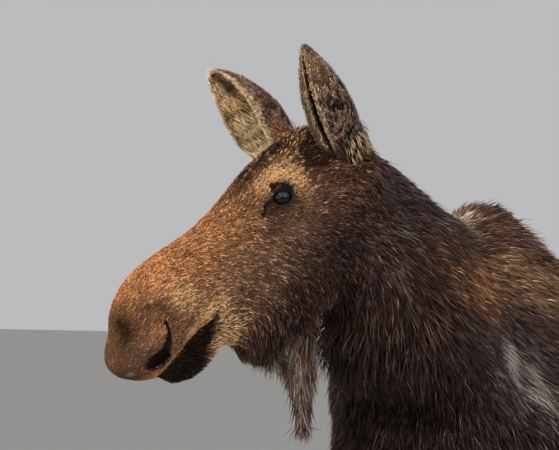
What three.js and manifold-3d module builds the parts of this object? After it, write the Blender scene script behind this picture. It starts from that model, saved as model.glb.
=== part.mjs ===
// A standing cow moose, life size, as a museum's still model.
// Millimetres, +Z up. The trunk lies along Y and faces -Y; the animal's left side is +X.
// The head is turned to the animal's right and hangs a little. Every piece of flesh is a loft
// through slices, joined into one body and then parted again by thin flat cuts.
import * as THREE from 'three';
import { mergeVertices } from 'three/addons/utils/BufferGeometryUtils.js';
import Module from 'manifold-3d';

const wasm = await Module();
wasm.setup();

// ---------------------------------------------------------------- driving sizes
const HUMP_HEIGHT = 1786; // floor to the top of the shoulder hump
const POLL = new THREE.Vector3(-90, -630, 1940); // top of the head between the ears, from the hump's foot
const HEAD_YAW = 35; // degrees that the head turns to the animal's right
const HEAD_PITCH = 42; // degrees that the face points below level
const GAP = 0.6; // width of the cuts that part the body
const HOOF_HEIGHT = 62; // floor to the coronet
const EYE_RADIUS = 19;
const EYE_AT = [173, 84, -42]; // in the head's own frame: forward, left, up from the poll
const EAR_LENGTH = 262;
const FORE_KNEE = 500; // heights where the lower legs begin
const HIND_HOCK = 610;
const LEG_TOP = 975; // below this height there is only leg
const FORE_HOOF_Y = [-78, 42]; // how far each hoof is set forward (-) or back, left and right
const HIND_HOOF_Y = [62, -70];

// ---------------------------------------------------------------- colours
const flesh = (colour) => new THREE.MeshStandardMaterial({ color: colour, roughness: 0.9, metalness: 0 });
const faceHair = flesh(0x8a5a34);
const neckHair = flesh(0x3a2b24);
const bodyHair = flesh(0x4a3427);
const legHair = flesh(0x7d6f60);
const earHair = flesh(0x8f7a5c);
const bellHair = flesh(0x6b5546);
const horn = new THREE.MeshStandardMaterial({ color: 0x2a231f, roughness: 0.5, metalness: 0 });
const wetEye = new THREE.MeshStandardMaterial({ color: 0x15100d, roughness: 0.08, metalness: 0 });

// ---------------------------------------------------------------- lofts
const vec = (x, y, z) => new THREE.Vector3(x, y, z);
const LEFT = vec(1, 0, 0);

// One slice: an egg between a top and a bottom point, `half` wide to each side. `widest` is how far up
// the widest line lies, `square` is 2 for an ellipse and more for a boxier one, and `taper` narrows the
// upper half (below 0) or the lower half (above 0).
function slice(top, bottom, side, half, widest = 0.5, square = 2, taper = 0) {
  return [...top.toArray(), ...bottom.toArray(), ...side.toArray(), half, widest, square, taper];
}

// The slice at share t of the way through the list, by a Catmull-Rom spline through each value.
function sliceAt(slices, t) {
  const place = t * (slices.length - 1);
  const i = Math.min(Math.floor(place), slices.length - 2);
  const f = place - i;
  const at = (k) => slices[Math.max(0, Math.min(slices.length - 1, k))];
  const [a, b, c, d] = [at(i - 1), at(i), at(i + 1), at(i + 2)];
  return b.map((v, k) => {
    const [m0, m1] = [(c[k] - a[k]) / 2, (d[k] - v) / 2];
    const [f2, f3] = [f * f, f * f * f];
    return (2 * f3 - 3 * f2 + 1) * v + (f3 - 2 * f2 + f) * m0 + (3 * f2 - 2 * f3) * c[k] + (f3 - f2) * m1;
  });
}

// A point on a slice, `shrink` times its full size, at an angle that starts at the left side.
function onSlice(s, angle, shrink) {
  const [top, bottom, side] = [vec(...s.slice(0, 3)), vec(...s.slice(3, 6)), vec(...s.slice(6, 9)).normalize()];
  const [half, widest, square, taper] = s.slice(9);
  const centre = bottom.clone().lerp(top, widest);
  const [c, n] = [Math.cos(angle), Math.sin(angle)];
  const r = shrink * (Math.abs(c) ** square + Math.abs(n) ** square) ** (-1 / square);
  const reach = n > 0 ? top.clone().sub(centre) : centre.clone().sub(bottom);
  return centre.addScaledVector(side, half * r * c * (1 + taper * n)).addScaledVector(reach, r * n);
}

// Rows of a loft as [share along, shrink]: a rounded end follows a quarter circle over the share given,
// and a flat end, share 0, keeps its full slice and closes straight across.
function loftRows(rings, roundFirst, roundLast) {
  const steps = 3; // rows in a rounded end
  const end = (round) => (round === 0 ? [[0, 0], [0, 1]] : Array.from({ length: steps }, (_, k) => {
    const turn = (k / steps) * (Math.PI / 2);
    return [round * (1 - Math.cos(turn)), Math.sin(turn)];
  }));
  const [first, last] = [end(roundFirst), end(roundLast)];
  const from = roundFirst;
  const to = 1 - roundLast;
  const inner = rings - 1;
  const skip = (round) => (round === 0 ? 1 : 0);
  const middle = [];
  for (let k = skip(roundFirst); k <= inner - skip(roundLast); k++) middle.push([from + ((to - from) * k) / inner, 1]);
  return [...first, ...middle, ...last.reverse().map(([t, shrink]) => [1 - t, shrink])];
}

// A sphere's grid laid over the slices: its poles close the two ends.
function loft(slices, { sides = 16, rings = 12, roundFirst = 0.1, roundLast = 0.1 } = {}) {
  const rows = loftRows(rings, roundFirst, roundLast);
  return gridShape(sides, rows.length - 1, (u, row) => {
    const [t, shrink] = rows[row];
    return onSlice(sliceAt(slices, t), u * Math.PI * 2, shrink);
  });
}

// Moves each vertex of a sphere's grid to where `place(share round, row)` says.
function gridShape(sides, rows, place) {
  const geometry = new THREE.SphereGeometry(1, sides, rows);
  const position = geometry.attributes.position;
  for (let i = 0; i < position.count; i++) {
    const row = Math.floor(i / (sides + 1));
    const u = (i % (sides + 1)) / sides;
    position.setXYZ(i, ...place(u % 1, row).toArray());
  }
  return geometry;
}

// Pushes a shape's surface outwards (or in) round a point, fading over `reach` along each axis.
function swell(geometry, at, reach, push) {
  const position = geometry.attributes.position;
  for (let i = 0; i < position.count; i++) {
    const p = vec(position.getX(i), position.getY(i), position.getZ(i));
    const far = vec((p.x - at[0]) / reach[0], (p.y - at[1]) / reach[1], (p.z - at[2]) / reach[2]);
    p.addScaledVector(vec(...push), Math.exp(-far.lengthSq()));
    position.setXYZ(i, p.x, p.y, p.z);
  }
}

// ---------------------------------------------------------------- solids
function solid(geometry) {
  geometry.deleteAttribute('normal');
  geometry.deleteAttribute('uv');
  const merged = mergeVertices(geometry, 1e-2);
  const triVerts = new Uint32Array(Array.from(merged.index.array));
  const make = () => new wasm.Manifold(new wasm.Mesh({
    numProp: 3, vertProperties: new Float32Array(merged.attributes.position.array), triVerts,
  }));
  const made = make();
  if (made.volume() > 0) return made;
  for (let i = 0; i < triVerts.length; i += 3) [triVerts[i + 1], triVerts[i + 2]] = [triVerts[i + 2], triVerts[i + 1]];
  return make();
}

const joined = (...solids) => solids.reduce((all, s) => all.add(s));

// A box as a cutter, in a frame: from its lowest to its highest corner.
function cutter(low, high, frame = new THREE.Matrix4()) {
  const size = vec(...high).sub(vec(...low));
  const box = new THREE.BoxGeometry(size.x, size.y, size.z);
  box.translate(low[0] + size.x / 2, low[1] + size.y / 2, low[2] + size.z / 2);
  return solid(box.applyMatrix4(frame));
}

// Parts a body with the space that all the boxes share: what is inside it, and the rest less a gap all round.
function parted(body, ...boxes) {
  const inner = boxes.map(([low, high, frame]) => cutter(low, high, frame));
  const wider = boxes.map(([low, high, frame]) => cutter(low.map((v) => v - GAP), high.map((v) => v + GAP), frame));
  const shared = (cutters) => cutters.reduce((all, c) => all.intersect(c));
  return [body.intersect(shared(inner)), body.subtract(shared(wider))];
}

// The share of a piece that stands out of a body, clear of it by the gap on the side that it faces.
const outside = (piece, body, towards) => piece.subtract(body.translate(...towards.map((v) => v * GAP)));

const moose = new THREE.Group();
moose.name = 'moose';
const pieces = new Map();

function show(name, shape, material) {
  const made = shape.getMesh();
  const geometry = new THREE.BufferGeometry();
  geometry.setAttribute('position', new THREE.BufferAttribute(made.vertProperties, 3));
  geometry.setIndex(new THREE.BufferAttribute(made.triVerts, 1));
  geometry.computeVertexNormals();
  const mesh = new THREE.Mesh(geometry, material);
  mesh.name = name;
  moose.add(mesh);
  pieces.set(name, mesh);
}

// ---------------------------------------------------------------- the head's frame
const rad = THREE.MathUtils.degToRad;
const heading = vec(-Math.sin(rad(HEAD_YAW)), -Math.cos(rad(HEAD_YAW)), 0);
const forward = heading.clone().multiplyScalar(Math.cos(rad(HEAD_PITCH))).add(vec(0, 0, -Math.sin(rad(HEAD_PITCH))));
const headLeft = vec(0, 0, 1).cross(heading);
const upward = forward.clone().cross(headLeft);
const headFrame = new THREE.Matrix4().makeBasis(forward, headLeft, upward).setPosition(POLL);
const levelFrame = new THREE.Matrix4().makeBasis(heading, headLeft, vec(0, 0, 1)).setPosition(POLL);

// ---------------------------------------------------------------- trunk
// y, back line, belly line, half width, height of the widest line (share), squareness, taper
const TRUNK_SLICES = [
  [-432, 1345, 1165, 104, 0.5, 2.0, 0],
  [-362, 1540, 1078, 186, 0.45, 2.1, -0.1],
  [-220, 1725, 1015, 246, 0.4, 2.1, -0.34],
  [-60, 1783, 992, 266, 0.36, 2.1, -0.54],
  [80, 1770, 982, 280, 0.36, 2.1, -0.56],
  [200, 1708, 976, 298, 0.38, 2.1, -0.5],
  [320, 1646, 976, 314, 0.42, 2.1, -0.36],
  [500, 1608, 988, 324, 0.46, 2.15, -0.22],
  [690, 1600, 1030, 312, 0.48, 2.2, -0.16],
  [860, 1612, 1096, 282, 0.5, 2.25, -0.18],
  [1000, 1588, 1160, 248, 0.5, 2.2, -0.18],
  [1105, 1530, 1210, 206, 0.5, 2.1, -0.14],
  [1180, 1445, 1265, 132, 0.5, 2.0, -0.1],
];
const trunkLoft = loft(
  TRUNK_SLICES.map(([y, top, low, half, ...form]) => slice(vec(0, y, top), vec(0, y, low), LEFT, half, ...form)),
  { sides: 24, rings: 15, roundFirst: 0.05, roundLast: 0.05 },
);
swell(trunkLoft, [0, 0, HUMP_HEIGHT], [60, 150, 60], [0, 0, 5]); // the hump's ridge over the withers
for (const side of [1, -1]) {
  swell(trunkLoft, [side * 230, -40, 1480], [120, 110, 150], [side * 14, 0, 0]); // shoulder blade
  swell(trunkLoft, [side * 190, 800, 1560], [90, 70, 70], [side * 14, 0, 6]); // hip bone
  swell(trunkLoft, [side * 300, 660, 1400], [120, 90, 130], [side * -16, 0, 0]); // hollow of the flank
  swell(trunkLoft, [side * 300, 230, 1180], [120, 120, 120], [side * -8, 0, 0]); // behind the elbow
}

// ---------------------------------------------------------------- neck
// crest point, throat point, half width, turn to the right in degrees, widest, squareness, taper
const NECK_SLICES = [
  [[0, -20, 1740], [0, -150, 1090], 196, 0, 0.4, 2.1, -0.35],
  [[0, -215, 1764], [0, -345, 1225], 208, 2, 0.4, 2.1, -0.4],
  [[-3, -300, 1796], [-4, -408, 1340], 180, 8, 0.42, 2.1, -0.36],
  [[-22, -410, 1858], [-16, -496, 1416], 156, 18, 0.44, 2.1, -0.3],
  [[-48, -500, 1902], [-32, -548, 1500], 134, 27, 0.46, 2.1, -0.2],
  [[-78, -590, 1918], [-52, -570, 1610], 112, 33, 0.5, 2.1, -0.1],
];
const neckLoft = loft(
  NECK_SLICES.map(([crest, throat, half, turn, ...form]) => slice(
    vec(...crest), vec(...throat), vec(Math.cos(rad(turn)), -Math.sin(rad(turn)), 0), half, ...form)),
  { sides: 22, rings: 8, roundFirst: 0.12, roundLast: 0.1 },
);

// ---------------------------------------------------------------- head
// In the head's frame, from the poll: forward, top line, bottom line, half width, widest, squareness, taper
const HEAD_SLICES = [
  [-62, -40, -215, 80, 0.5, 2.0, 0],
  [-10, -4, -275, 98, 0.52, 2.1, 0],
  [50, 19, -303, 104, 0.56, 2.2, 0],
  [110, 27, -312, 104, 0.62, 2.3, 0],
  [170, 28, -308, 98, 0.68, 2.3, 0.02],
  [235, 23, -300, 84, 0.62, 2.2, 0.04],
  [300, 19, -300, 72, 0.6, 2.2, 0.05],
  [350, 23, -300, 66, 0.58, 2.2, 0.04],
  [395, 31, -290, 64, 0.55, 2.3, 0],
  [428, 37, -226, 66, 0.5, 2.4, -0.02],
  [460, 40, -154, 70, 0.45, 2.5, -0.06],
  [500, 40, -148, 75, 0.42, 2.5, -0.12],
  [545, 31, -149, 80, 0.4, 2.5, -0.16],
  [583, 7, -150, 81, 0.42, 2.4, -0.16],
  [614, -21, -142, 73, 0.45, 2.3, -0.1],
  [639, -43, -119, 57, 0.5, 2.2, 0],
];
const CLOSING = 18; // how far the rounded nose reaches past the last slice

const headSlice = ([along, top, low, half, ...form]) => slice(
  vec(along, 0, top), vec(along, 0, low), vec(0, 1, 0), half, ...form);
const noseEnd = [[639 + CLOSING, -61, -102, 40, 0.5, 2, 0]];
const headLoft = loft([...HEAD_SLICES, ...noseEnd].map(headSlice), { sides: 28, rings: 21, roundFirst: 0.05, roundLast: 0.05 });
for (const side of [1, -1]) {
  swell(headLoft, [168, side * 92, -22], [44, 46, 28], [0, side * 9, 3]); // brow over the eye
  swell(headLoft, [205, side * 80, -80], [60, 40, 26], [0, side * -5, 0]); // hollow before the eye
  swell(headLoft, [95, side * 95, -175], [90, 60, 80], [0, side * 9, 0]); // cheek
  swell(headLoft, [300, side * 72, -130], [110, 40, 26], [0, side * 5, 0]); // ridge above the tooth row
  swell(headLoft, [420, side * 66, -70], [50, 40, 50], [0, side * -5, 0]); // hollow behind the nostril
  swell(headLoft, [560, side * 82, -95], [42, 40, 40], [0, side * 7, 0]); // wing of the nostril
  swell(headLoft, [414, side * 30, -258], [26, 60, 30], [9, 0, -10]); // fringe hanging at the front of the jaw
}
headLoft.applyMatrix4(headFrame);

// The chin and lower lip, which hang below the upper lip.
// forward, top line, bottom line, half width
const JAW_SLICES = [
  [350, -120, -186, 40],
  [410, -120, -194, 47],
  [455, -125, -197, 49],
  [500, -130, -206, 46],
  [540, -132, -206, 42],
  [572, -137, -190, 34],
  [590, -147, -171, 22],
];
const jawLoft = loft(JAW_SLICES.map(([...row]) => headSlice([...row, 0.5, 2.2, 0])), { sides: 14, rings: 7 });
jawLoft.applyMatrix4(headFrame);

// ---------------------------------------------------------------- ears
// share of the length, radius of the roll, half angle that the wall wraps round, wall thickness with its fur
const EAR_FOLDED = [
  [0, 42, 166, 40],
  [0.12, 47, 166, 18],
  [0.25, 50, 166, 11],
  [0.42, 51, 166, 9],
  [0.6, 46, 165, 9],
  [0.78, 32, 164, 8],
  [0.92, 16, 160, 7],
  [1, 7, 150, 5],
];
const EAR_OPEN = [
  [0, 36, 166, 34],
  [0.12, 45, 146, 16],
  [0.25, 56, 133, 10],
  [0.42, 65, 119, 9],
  [0.6, 64, 108, 9],
  [0.78, 49, 100, 8],
  [0.92, 27, 96, 7],
  [1, 9, 95, 6],
];
const EAR_ROWS = 11;
const EAR_SIDES = 18;

// Radius, half angle and wall of an ear's table at a share of its length.
function earShape(table, share) {
  const next = Math.max(1, table.findIndex(([s]) => s >= share));
  const [low, high] = [table[next - 1], table[next]];
  const part = (share - low[0]) / (high[0] - low[0]);
  return [1, 2, 3].map((i) => THREE.MathUtils.lerp(low[i], high[i], part));
}

// A rolled leaf: the outer wall is one half of the loop and the inner wall the other half. `base` is the middle of
// the root, `tip` the direction of the length and `open` the way the hollow faces, all in the level frame.
function ear(base, tip, open, table) {
  const along = vec(...tip).normalize();
  const facing = vec(...open).addScaledVector(along, -vec(...open).dot(along)).normalize();
  const across = facing.clone().cross(along);
  const shape = gridShape(EAR_SIDES, EAR_ROWS, (u, row) => {
    const share = Math.min(Math.max((row - 1) / (EAR_ROWS - 2), 0), 1);
    const [radius, curl, wall] = earShape(table, share);
    const outer = u < 0.5;
    const s = outer ? 4 * u - 1 : 3 - 4 * u;
    const full = Math.min(wall, radius - 2);
    const thick = full * (1 - 0.5 * s ** 4);
    const place = vec(0, 0, 0).addScaledVector(along, share * EAR_LENGTH);
    if (row === 0 || row === EAR_ROWS) return place.addScaledVector(facing, full / 2 - radius);
    const r = outer ? radius : radius - thick;
    const bend = s * rad(curl);
    return place.addScaledVector(across, r * Math.sin(bend)).addScaledVector(facing, -r * Math.cos(bend));
  });
  return shape.translate(...base).applyMatrix4(levelFrame);
}

// The left ear stands up and is folded, its slit forward; the right one is swung out and shows its hollow.
// In the level frame at the poll: forward, left, up
const earLeft = solid(ear([-62, 76, -75], [128, 45, 231], [0.75, 0.66, -0.3], EAR_FOLDED));
const earRight = solid(ear([0, -72, -70], [145, -122, 184], [0.84, 0.29, -0.46], EAR_OPEN));

// ---------------------------------------------------------------- legs
// height, front line, back line, half width, distance from the middle; lines are measured along Y
const FORE_SLICES = [
  [1480, -190, 70, 60, 170],
  [1340, -270, 110, 84, 186],
  [1220, -290, 135, 92, 184],
  [1110, -215, 140, 88, 178],
  [1010, -135, 108, 72, 170],
  [900, -100, 66, 58, 162],
  [780, -80, 44, 48, 156],
  [660, -68, 32, 41, 152],
  [560, -68, 28, 41, 150],
  [500, -68, 26, 42, 150],
  [430, -54, 22, 33, 149],
  [320, -48, 20, 28, 149],
  [225, -48, 26, 30, 149],
  [175, -52, 36, 35, 149],
  [125, -66, 24, 34, 149],
  [88, -82, 14, 38, 149],
  [HOOF_HEIGHT, -92, 10, 40, 149],
];
const HIND_SLICES = [
  [1500, 800, 1070, 66, 146],
  [1390, 745, 1150, 104, 150],
  [1270, 715, 1184, 112, 154],
  [1150, 712, 1184, 106, 154],
  [1050, 745, 1150, 88, 153],
  [950, 808, 1112, 70, 154],
  [850, 878, 1092, 54, 151],
  [760, 940, 1108, 42, 149],
  [690, 972, 1142, 38, 148],
  [630, 985, 1128, 40, 148],
  [560, 992, 1098, 38, 148],
  [460, 1000, 1078, 30, 148],
  [330, 1004, 1074, 27, 148],
  [230, 1002, 1080, 30, 148],
  [180, 996, 1086, 34, 148],
  [130, 980, 1070, 34, 148],
  [90, 962, 1056, 38, 148],
  [HOOF_HEIGHT, 952, 1050, 40, 148],
];
const STEP_FROM = 1100; // a leg leans forward or back below this height

function leg(rows, side, step) {
  const lean = (z) => step * Math.max(0, 1 - z / STEP_FROM);
  const muscle = (z) => 0.3 * Math.max(0, Math.min(1, (z - 700) / 300)); // the upper leg is fuller in front
  return loft(rows.map(([z, front, back, half, out]) => slice(
    vec(side * out, front + lean(z), z), vec(side * out, back + lean(z), z), LEFT, half, 0.5, 2.1, muscle(z))),
  { sides: 12, rings: 14, roundFirst: 0.08, roundLast: 0 });
}

// A toe of a cloven hoof, its sole flat on the floor. height, toe tip, heel, half width
const TOE_SLICES = [
  [HOOF_HEIGHT - GAP, -92, 6, 22],
  [40, -112, 10, 25],
  [16, -136, 8, 26.5],
  [0, -145, 2, 26],
];
const TOE_SPREAD = 27.5; // middle of a toe to the middle of its hoof
function toe(side, out, ankle) {
  const rows = TOE_SLICES.map(([z, tip, heel, half]) => slice(
    vec(side, tip + ankle, z), vec(side, heel + ankle, z), LEFT, half, 0.42, 2, -0.35));
  const shape = loft(rows, { sides: 10, rings: 3, roundFirst: 0, roundLast: 0 });
  return solid(shape.translate(out, 0, 0));
}

// A dew claw behind the pastern, pointing down and back.
function dewClaw(x, back) {
  const rows = [[158, -20, 8, 11], [130, -12, 17, 12], [104, 4, 25, 10], [84, 17, 27, 4]];
  return loft(rows.map(([z, front, behind, half]) => slice(
    vec(x, back + front, z), vec(x, back + behind, z), LEFT, half)),
  { sides: 8, rings: 3, roundFirst: 0, roundLast: 0 });
}

// ---------------------------------------------------------------- tail and bell
const TAIL_SLICES = [ // height, front, back, half width
  [1540, 1060, 1120, 24],
  [1500, 1112, 1172, 28],
  [1450, 1148, 1206, 30],
  [1400, 1166, 1220, 26],
  [1358, 1178, 1214, 15],
];
const tailLoft = loft(TAIL_SLICES.map(([z, front, back, half]) => slice(
  vec(0, front, z), vec(0, back, z), LEFT, half)), { sides: 10, rings: 5 });

const BELL_SLICES = [ // below the poll, front and back along the head's heading, half width
  [-370, 78, -42, 44],
  [-440, 72, -36, 40],
  [-490, 62, -34, 34],
  [-540, 46, -24, 27],
  [-590, 36, -14, 20],
  [-630, 26, -4, 12],
];
const bellLoft = loft(BELL_SLICES.map(([z, front, back, half]) => slice(
  vec(front, 0, z), vec(back, 0, z), vec(0, 1, 0), half)), { sides: 12, rings: 6 });
bellLoft.applyMatrix4(levelFrame);

// ---------------------------------------------------------------- joining and parting
const eyes = new Map([['left', 1], ['right', -1]].map(([name, side]) => {
  const at = vec(EYE_AT[0], side * EYE_AT[1], EYE_AT[2]).applyMatrix4(headFrame);
  const ball = (radius) => solid(new THREE.SphereGeometry(radius, 12, 8).translate(...at.toArray()));
  return [name, { ball: ball(EYE_RADIUS), socket: ball(EYE_RADIUS + GAP) }];
}));

// A nostril: a comma that sinks into the side of the nose and runs up behind its wing.
function nostril(side) {
  const rows = [ // forward, up, half length across the slit, half width into the nose
    [596, -118, 9, 20],
    [588, -106, 16, 22],
    [570, -92, 12, 18],
    [552, -78, 7, 14],
    [536, -66, 4, 9],
  ];
  const shape = loft(rows.map(([along, up, across, deep]) => slice(
    vec(along + across * 0.7, side * 84, up - across * 0.7), vec(along - across * 0.7, side * 84, up + across * 0.7),
    vec(0, 1, 0), deep)), { sides: 10, rings: 6 });
  return solid(shape.applyMatrix4(headFrame));
}

const legs = [
  ['foreleg_left', FORE_SLICES, 1, FORE_HOOF_Y[0]],
  ['foreleg_right', FORE_SLICES, -1, FORE_HOOF_Y[1]],
  ['hindleg_left', HIND_SLICES, 1, HIND_HOOF_Y[0]],
  ['hindleg_right', HIND_SLICES, -1, HIND_HOOF_Y[1]],
];
const legSolids = legs.map(([, rows, side, step]) => solid(leg(rows, side, step)));
let body = joined(solid(trunkLoft), solid(neckLoft), solid(headLoft), ...legSolids);
const whole = body;

// The legs come off below the trunk, and each is parted again at the knee or hock.
legs.forEach(([name, rows, side], i) => {
  const isFore = rows === FORE_SLICES;
  const [near, far] = isFore ? [-500, 300] : [500, 1400];
  const [inner, outer] = side > 0 ? [20, 400] : [-400, -20];
  const knee = isFore ? FORE_KNEE : HIND_HOCK;
  const [lowerLeg, upperPart] = parted(body, [[inner, near, -10], [outer, far, knee]]);
  const [upperLeg, rest] = parted(upperPart, [[inner, near, knee], [outer, far, LEG_TOP]]);
  body = rest;
  show(`${name}_${isFore ? 'forearm' : 'gaskin'}`, upperLeg, bodyHair);
  show(`${name}_cannon`, lowerLeg, legHair);
  const ankle = legs[i][3] * (1 - HOOF_HEIGHT / STEP_FROM) + (isFore ? 0 : 1044);
  const out = side * (isFore ? 149 : 148);
  for (const [label, across] of [['inner', -side], ['outer', side]]) {
    show(`${name}_toe_${label}`, toe(across * TOE_SPREAD, out, ankle), horn);
    const claw = solid(dewClaw(out + across * 20, ankle + 16));
    show(`${name}_dewclaw_${label}`, outside(claw, legSolids[i], [0, 1, 0]), horn);
  }
});

// The head comes off by a cut behind the ears and jaw and one below the jaw, and the neck before the hump.
const HEAD_CUT = [-52, 25]; // where the cut crosses the top line, and its lean in degrees
const JAW_CUT = -326; // below the poll, in the head's frame
const behindHead = headFrame.clone().multiply(new THREE.Matrix4().makeTranslation(HEAD_CUT[0], 0, 0))
  .multiply(new THREE.Matrix4().makeRotationY(rad(-HEAD_CUT[1])));
const [headPart, afterHead] = parted(
  body, [[0, -300, -700], [900, 300, 300], behindHead], [[-300, -300, JAW_CUT], [900, 300, 200], headFrame]);
const NECK_CUT = [-232, 1800, 17.5]; // y and height where the cut crosses the crest, and its lean in degrees
const beforeHump = new THREE.Matrix4().makeTranslation(0, NECK_CUT[0], NECK_CUT[1])
  .multiply(new THREE.Matrix4().makeRotationX(rad(NECK_CUT[2])));
const [neck, trunk] = parted(afterHead, [[-400, -900, -620], [400, 0, 400], beforeHump]);

let head = headPart;
for (const [name, { ball, socket }] of eyes) {
  head = head.subtract(socket);
  show(`eye_${name}`, ball, wetEye);
}
head = head.subtract(nostril(1)).subtract(nostril(-1));
const jawShift = forward.clone().sub(upward).toArray();
show('lower_jaw', outside(solid(jawLoft), whole, jawShift), neckHair);
show('bell', outside(solid(bellLoft), whole, [0, 0, -1.4]), bellHair);
show('ear_left', outside(earLeft, whole, headLeft.clone().add(vec(0, 0, 1)).toArray()), earHair);
show('ear_right', outside(earRight, whole, headLeft.clone().negate().add(vec(0, 0, 1)).toArray()), earHair);
show('tail', outside(solid(tailLoft), whole, [0, 1, 0]), bodyHair);
show('head', head, faceHair);
show('neck', neck, neckHair);
show('trunk', trunk, bodyHair);

// The origin goes on the floor, under the middle of the whole animal's box.
const box = new THREE.Box3().setFromObject(moose);
const middle = box.getCenter(vec(0, 0, 0));
moose.position.set(-middle.x, -middle.y, -box.min.z);

export default moose;
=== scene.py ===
"""A cow moose at life size: one skin, locks of coat over it, eyes, lids, lashes and hooves, on a pale floor.

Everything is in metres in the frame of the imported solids. The head's places are given in the head's own
frame: forward from the poll to the nose, to the animal's left, and up square to both.
"""

from math import cos, pi, radians, sin

import bmesh
import bpy
import numpy as np
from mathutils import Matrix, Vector


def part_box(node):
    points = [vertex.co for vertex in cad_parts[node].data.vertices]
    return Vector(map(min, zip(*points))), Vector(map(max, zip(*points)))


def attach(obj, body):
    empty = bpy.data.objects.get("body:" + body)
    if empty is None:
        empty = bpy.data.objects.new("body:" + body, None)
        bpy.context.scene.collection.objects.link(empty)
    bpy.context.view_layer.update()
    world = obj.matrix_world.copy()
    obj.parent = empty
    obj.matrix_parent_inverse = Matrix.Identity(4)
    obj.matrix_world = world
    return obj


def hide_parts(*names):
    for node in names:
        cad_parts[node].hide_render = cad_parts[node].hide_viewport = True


bl_info = {
    "name": "Museum moose",
    "version": (1, 0, 0),
    "blender": (4, 5, 0),
    "location": "3D View > Sidebar > Moose",
    "description": "Builds the skin, coat, eyes and hooves of a standing cow moose over its solids",
    "category": "Object",
}

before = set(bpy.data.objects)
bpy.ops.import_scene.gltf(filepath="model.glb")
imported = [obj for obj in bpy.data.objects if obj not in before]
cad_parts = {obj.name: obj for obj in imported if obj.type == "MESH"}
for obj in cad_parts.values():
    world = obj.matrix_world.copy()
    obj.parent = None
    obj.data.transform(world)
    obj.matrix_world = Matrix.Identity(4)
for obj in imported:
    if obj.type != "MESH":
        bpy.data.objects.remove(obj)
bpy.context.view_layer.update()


# ---------------------------------------------------------------- measures
def middle(node):
    """The centre of a solid's box."""
    low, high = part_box(node)
    return (np.array(low) + np.array(high)) / 2


def unit(vectors):
    """Vectors brought to length one."""
    return vectors / np.maximum(np.linalg.norm(vectors, axis=-1, keepdims=True), 1e-12)


def over(colour, other, amount):
    """Another colour laid over a first, by an amount from 0 to 1 at each point."""
    amount = np.clip(amount, 0, 1)[:, None]
    return colour * (1 - amount) + other * amount


def bell_shape(places, at, reach):
    """exp(-(distance / reach) squared), with a reach of its own along each axis."""
    return np.exp(-(((places - np.array(at)) / np.array(reach)) ** 2).sum(axis=1))


HEAD_DROP = radians(42)  # how far the nose points below level
EYE_FORWARD = 0.173  # eyes forward of the poll
EYE_BELOW = 0.042  # and below it
UPRIGHT = np.array([0.0, 0.0, 1.0])
LEFT = unit(middle("eye_left") - middle("eye_right"))
HEADING = np.cross(LEFT, UPRIGHT)
FORWARD = HEADING * cos(HEAD_DROP) - UPRIGHT * sin(HEAD_DROP)
UP = np.cross(FORWARD, LEFT)
POLL = (middle("eye_left") + middle("eye_right")) / 2 - FORWARD * EYE_FORWARD + UP * EYE_BELOW
MIDLINE = middle("trunk")[0]

LEGS = [f"{pair}_{side}" for pair in ("foreleg", "hindleg") for side in ("left", "right")]
UPPER_LEG = {"foreleg": "forearm", "hindleg": "gaskin"}
FLESH = ["head", "lower_jaw", "neck", "trunk", "tail", "bell"]
FLESH += [f"{leg}_{UPPER_LEG[leg.split('_')[0]]}" for leg in LEGS] + [f"{leg}_cannon" for leg in LEGS]
EARS = ["ear_left", "ear_right"]
EYES = ["eye_left", "eye_right"]

# Ears: share of the length, radius of the roll, half angle that the wall wraps round, wall with its fur.
EAR_LENGTH = 0.262
EAR_FOLDED = np.array([
    [0, 0.030, 180, 0.028], [0.12, 0.044, 179, 0.015], [0.25, 0.049, 176, 0.010], [0.42, 0.051, 174.5, 0.009],
    [0.6, 0.047, 174.5, 0.009], [0.78, 0.034, 174, 0.008], [0.92, 0.019, 172, 0.007], [1, 0.009, 168, 0.005],
])
EAR_OPEN = np.array([
    [0, 0.028, 166, 0.026], [0.12, 0.043, 146, 0.015], [0.25, 0.056, 133, 0.010], [0.42, 0.065, 119, 0.009],
    [0.6, 0.061, 108, 0.009], [0.78, 0.049, 100, 0.008], [0.92, 0.033, 96, 0.007], [1, 0.019, 95, 0.006],
])
# Middle of the root, way of the tip, way the hollow faces and bend of the tip: ahead level, left, upright.
EAR_PLACES = {
    "ear_left": (
        (-0.059, 0.076, -0.075), (128, 45, 231), (0.86, 0.52, -0.3), (0.002, 0, 0.008), EAR_FOLDED),
    "ear_right": (
        (0.004, -0.072, -0.071), (145, -122, 184), (0.84, 0.29, -0.46), (-0.015, 0, 0.0), EAR_OPEN),
}

# The line where the lips meet, forward and up in the head's frame, from the corner to the front.
LIP_LINE = np.array([
    [0.422, -0.122], [0.432, -0.129], [0.447, -0.131], [0.470, -0.128], [0.520, -0.126],
    [0.562, -0.128], [0.592, -0.131], [0.615, -0.142], [0.640, -0.150],
])
# The slit of the nostril, from its top down to the opening.
NOSTRIL_SLIT = np.array([
    [0.529, -0.059], [0.531, -0.067], [0.535, -0.077], [0.545, -0.086], [0.556, -0.094], [0.568, -0.101],
])
NOSTRIL_AT = (0.591, -0.104)  # middle of its opening
NOSTRIL_HALF = (0.0275, 0.0150)  # half its length and height
NOSTRIL_TILT = radians(9)
TEAR_SLIT = np.array([[0.190, -0.034], [0.203, -0.032], [0.213, -0.034], [0.223, -0.043]])
LID_LINE = np.array([[0.182, -0.013], [0.168, -0.014], [0.159, -0.024], [0.154, -0.038]])
LIP_CREASE = np.array([[0.530, -0.109], [0.500, -0.101], [0.465, -0.101]])
NOSE_ARC = np.array([[0.548, -0.012], [0.526, -0.018], [0.508, -0.036], [0.508, -0.060]])


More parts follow.
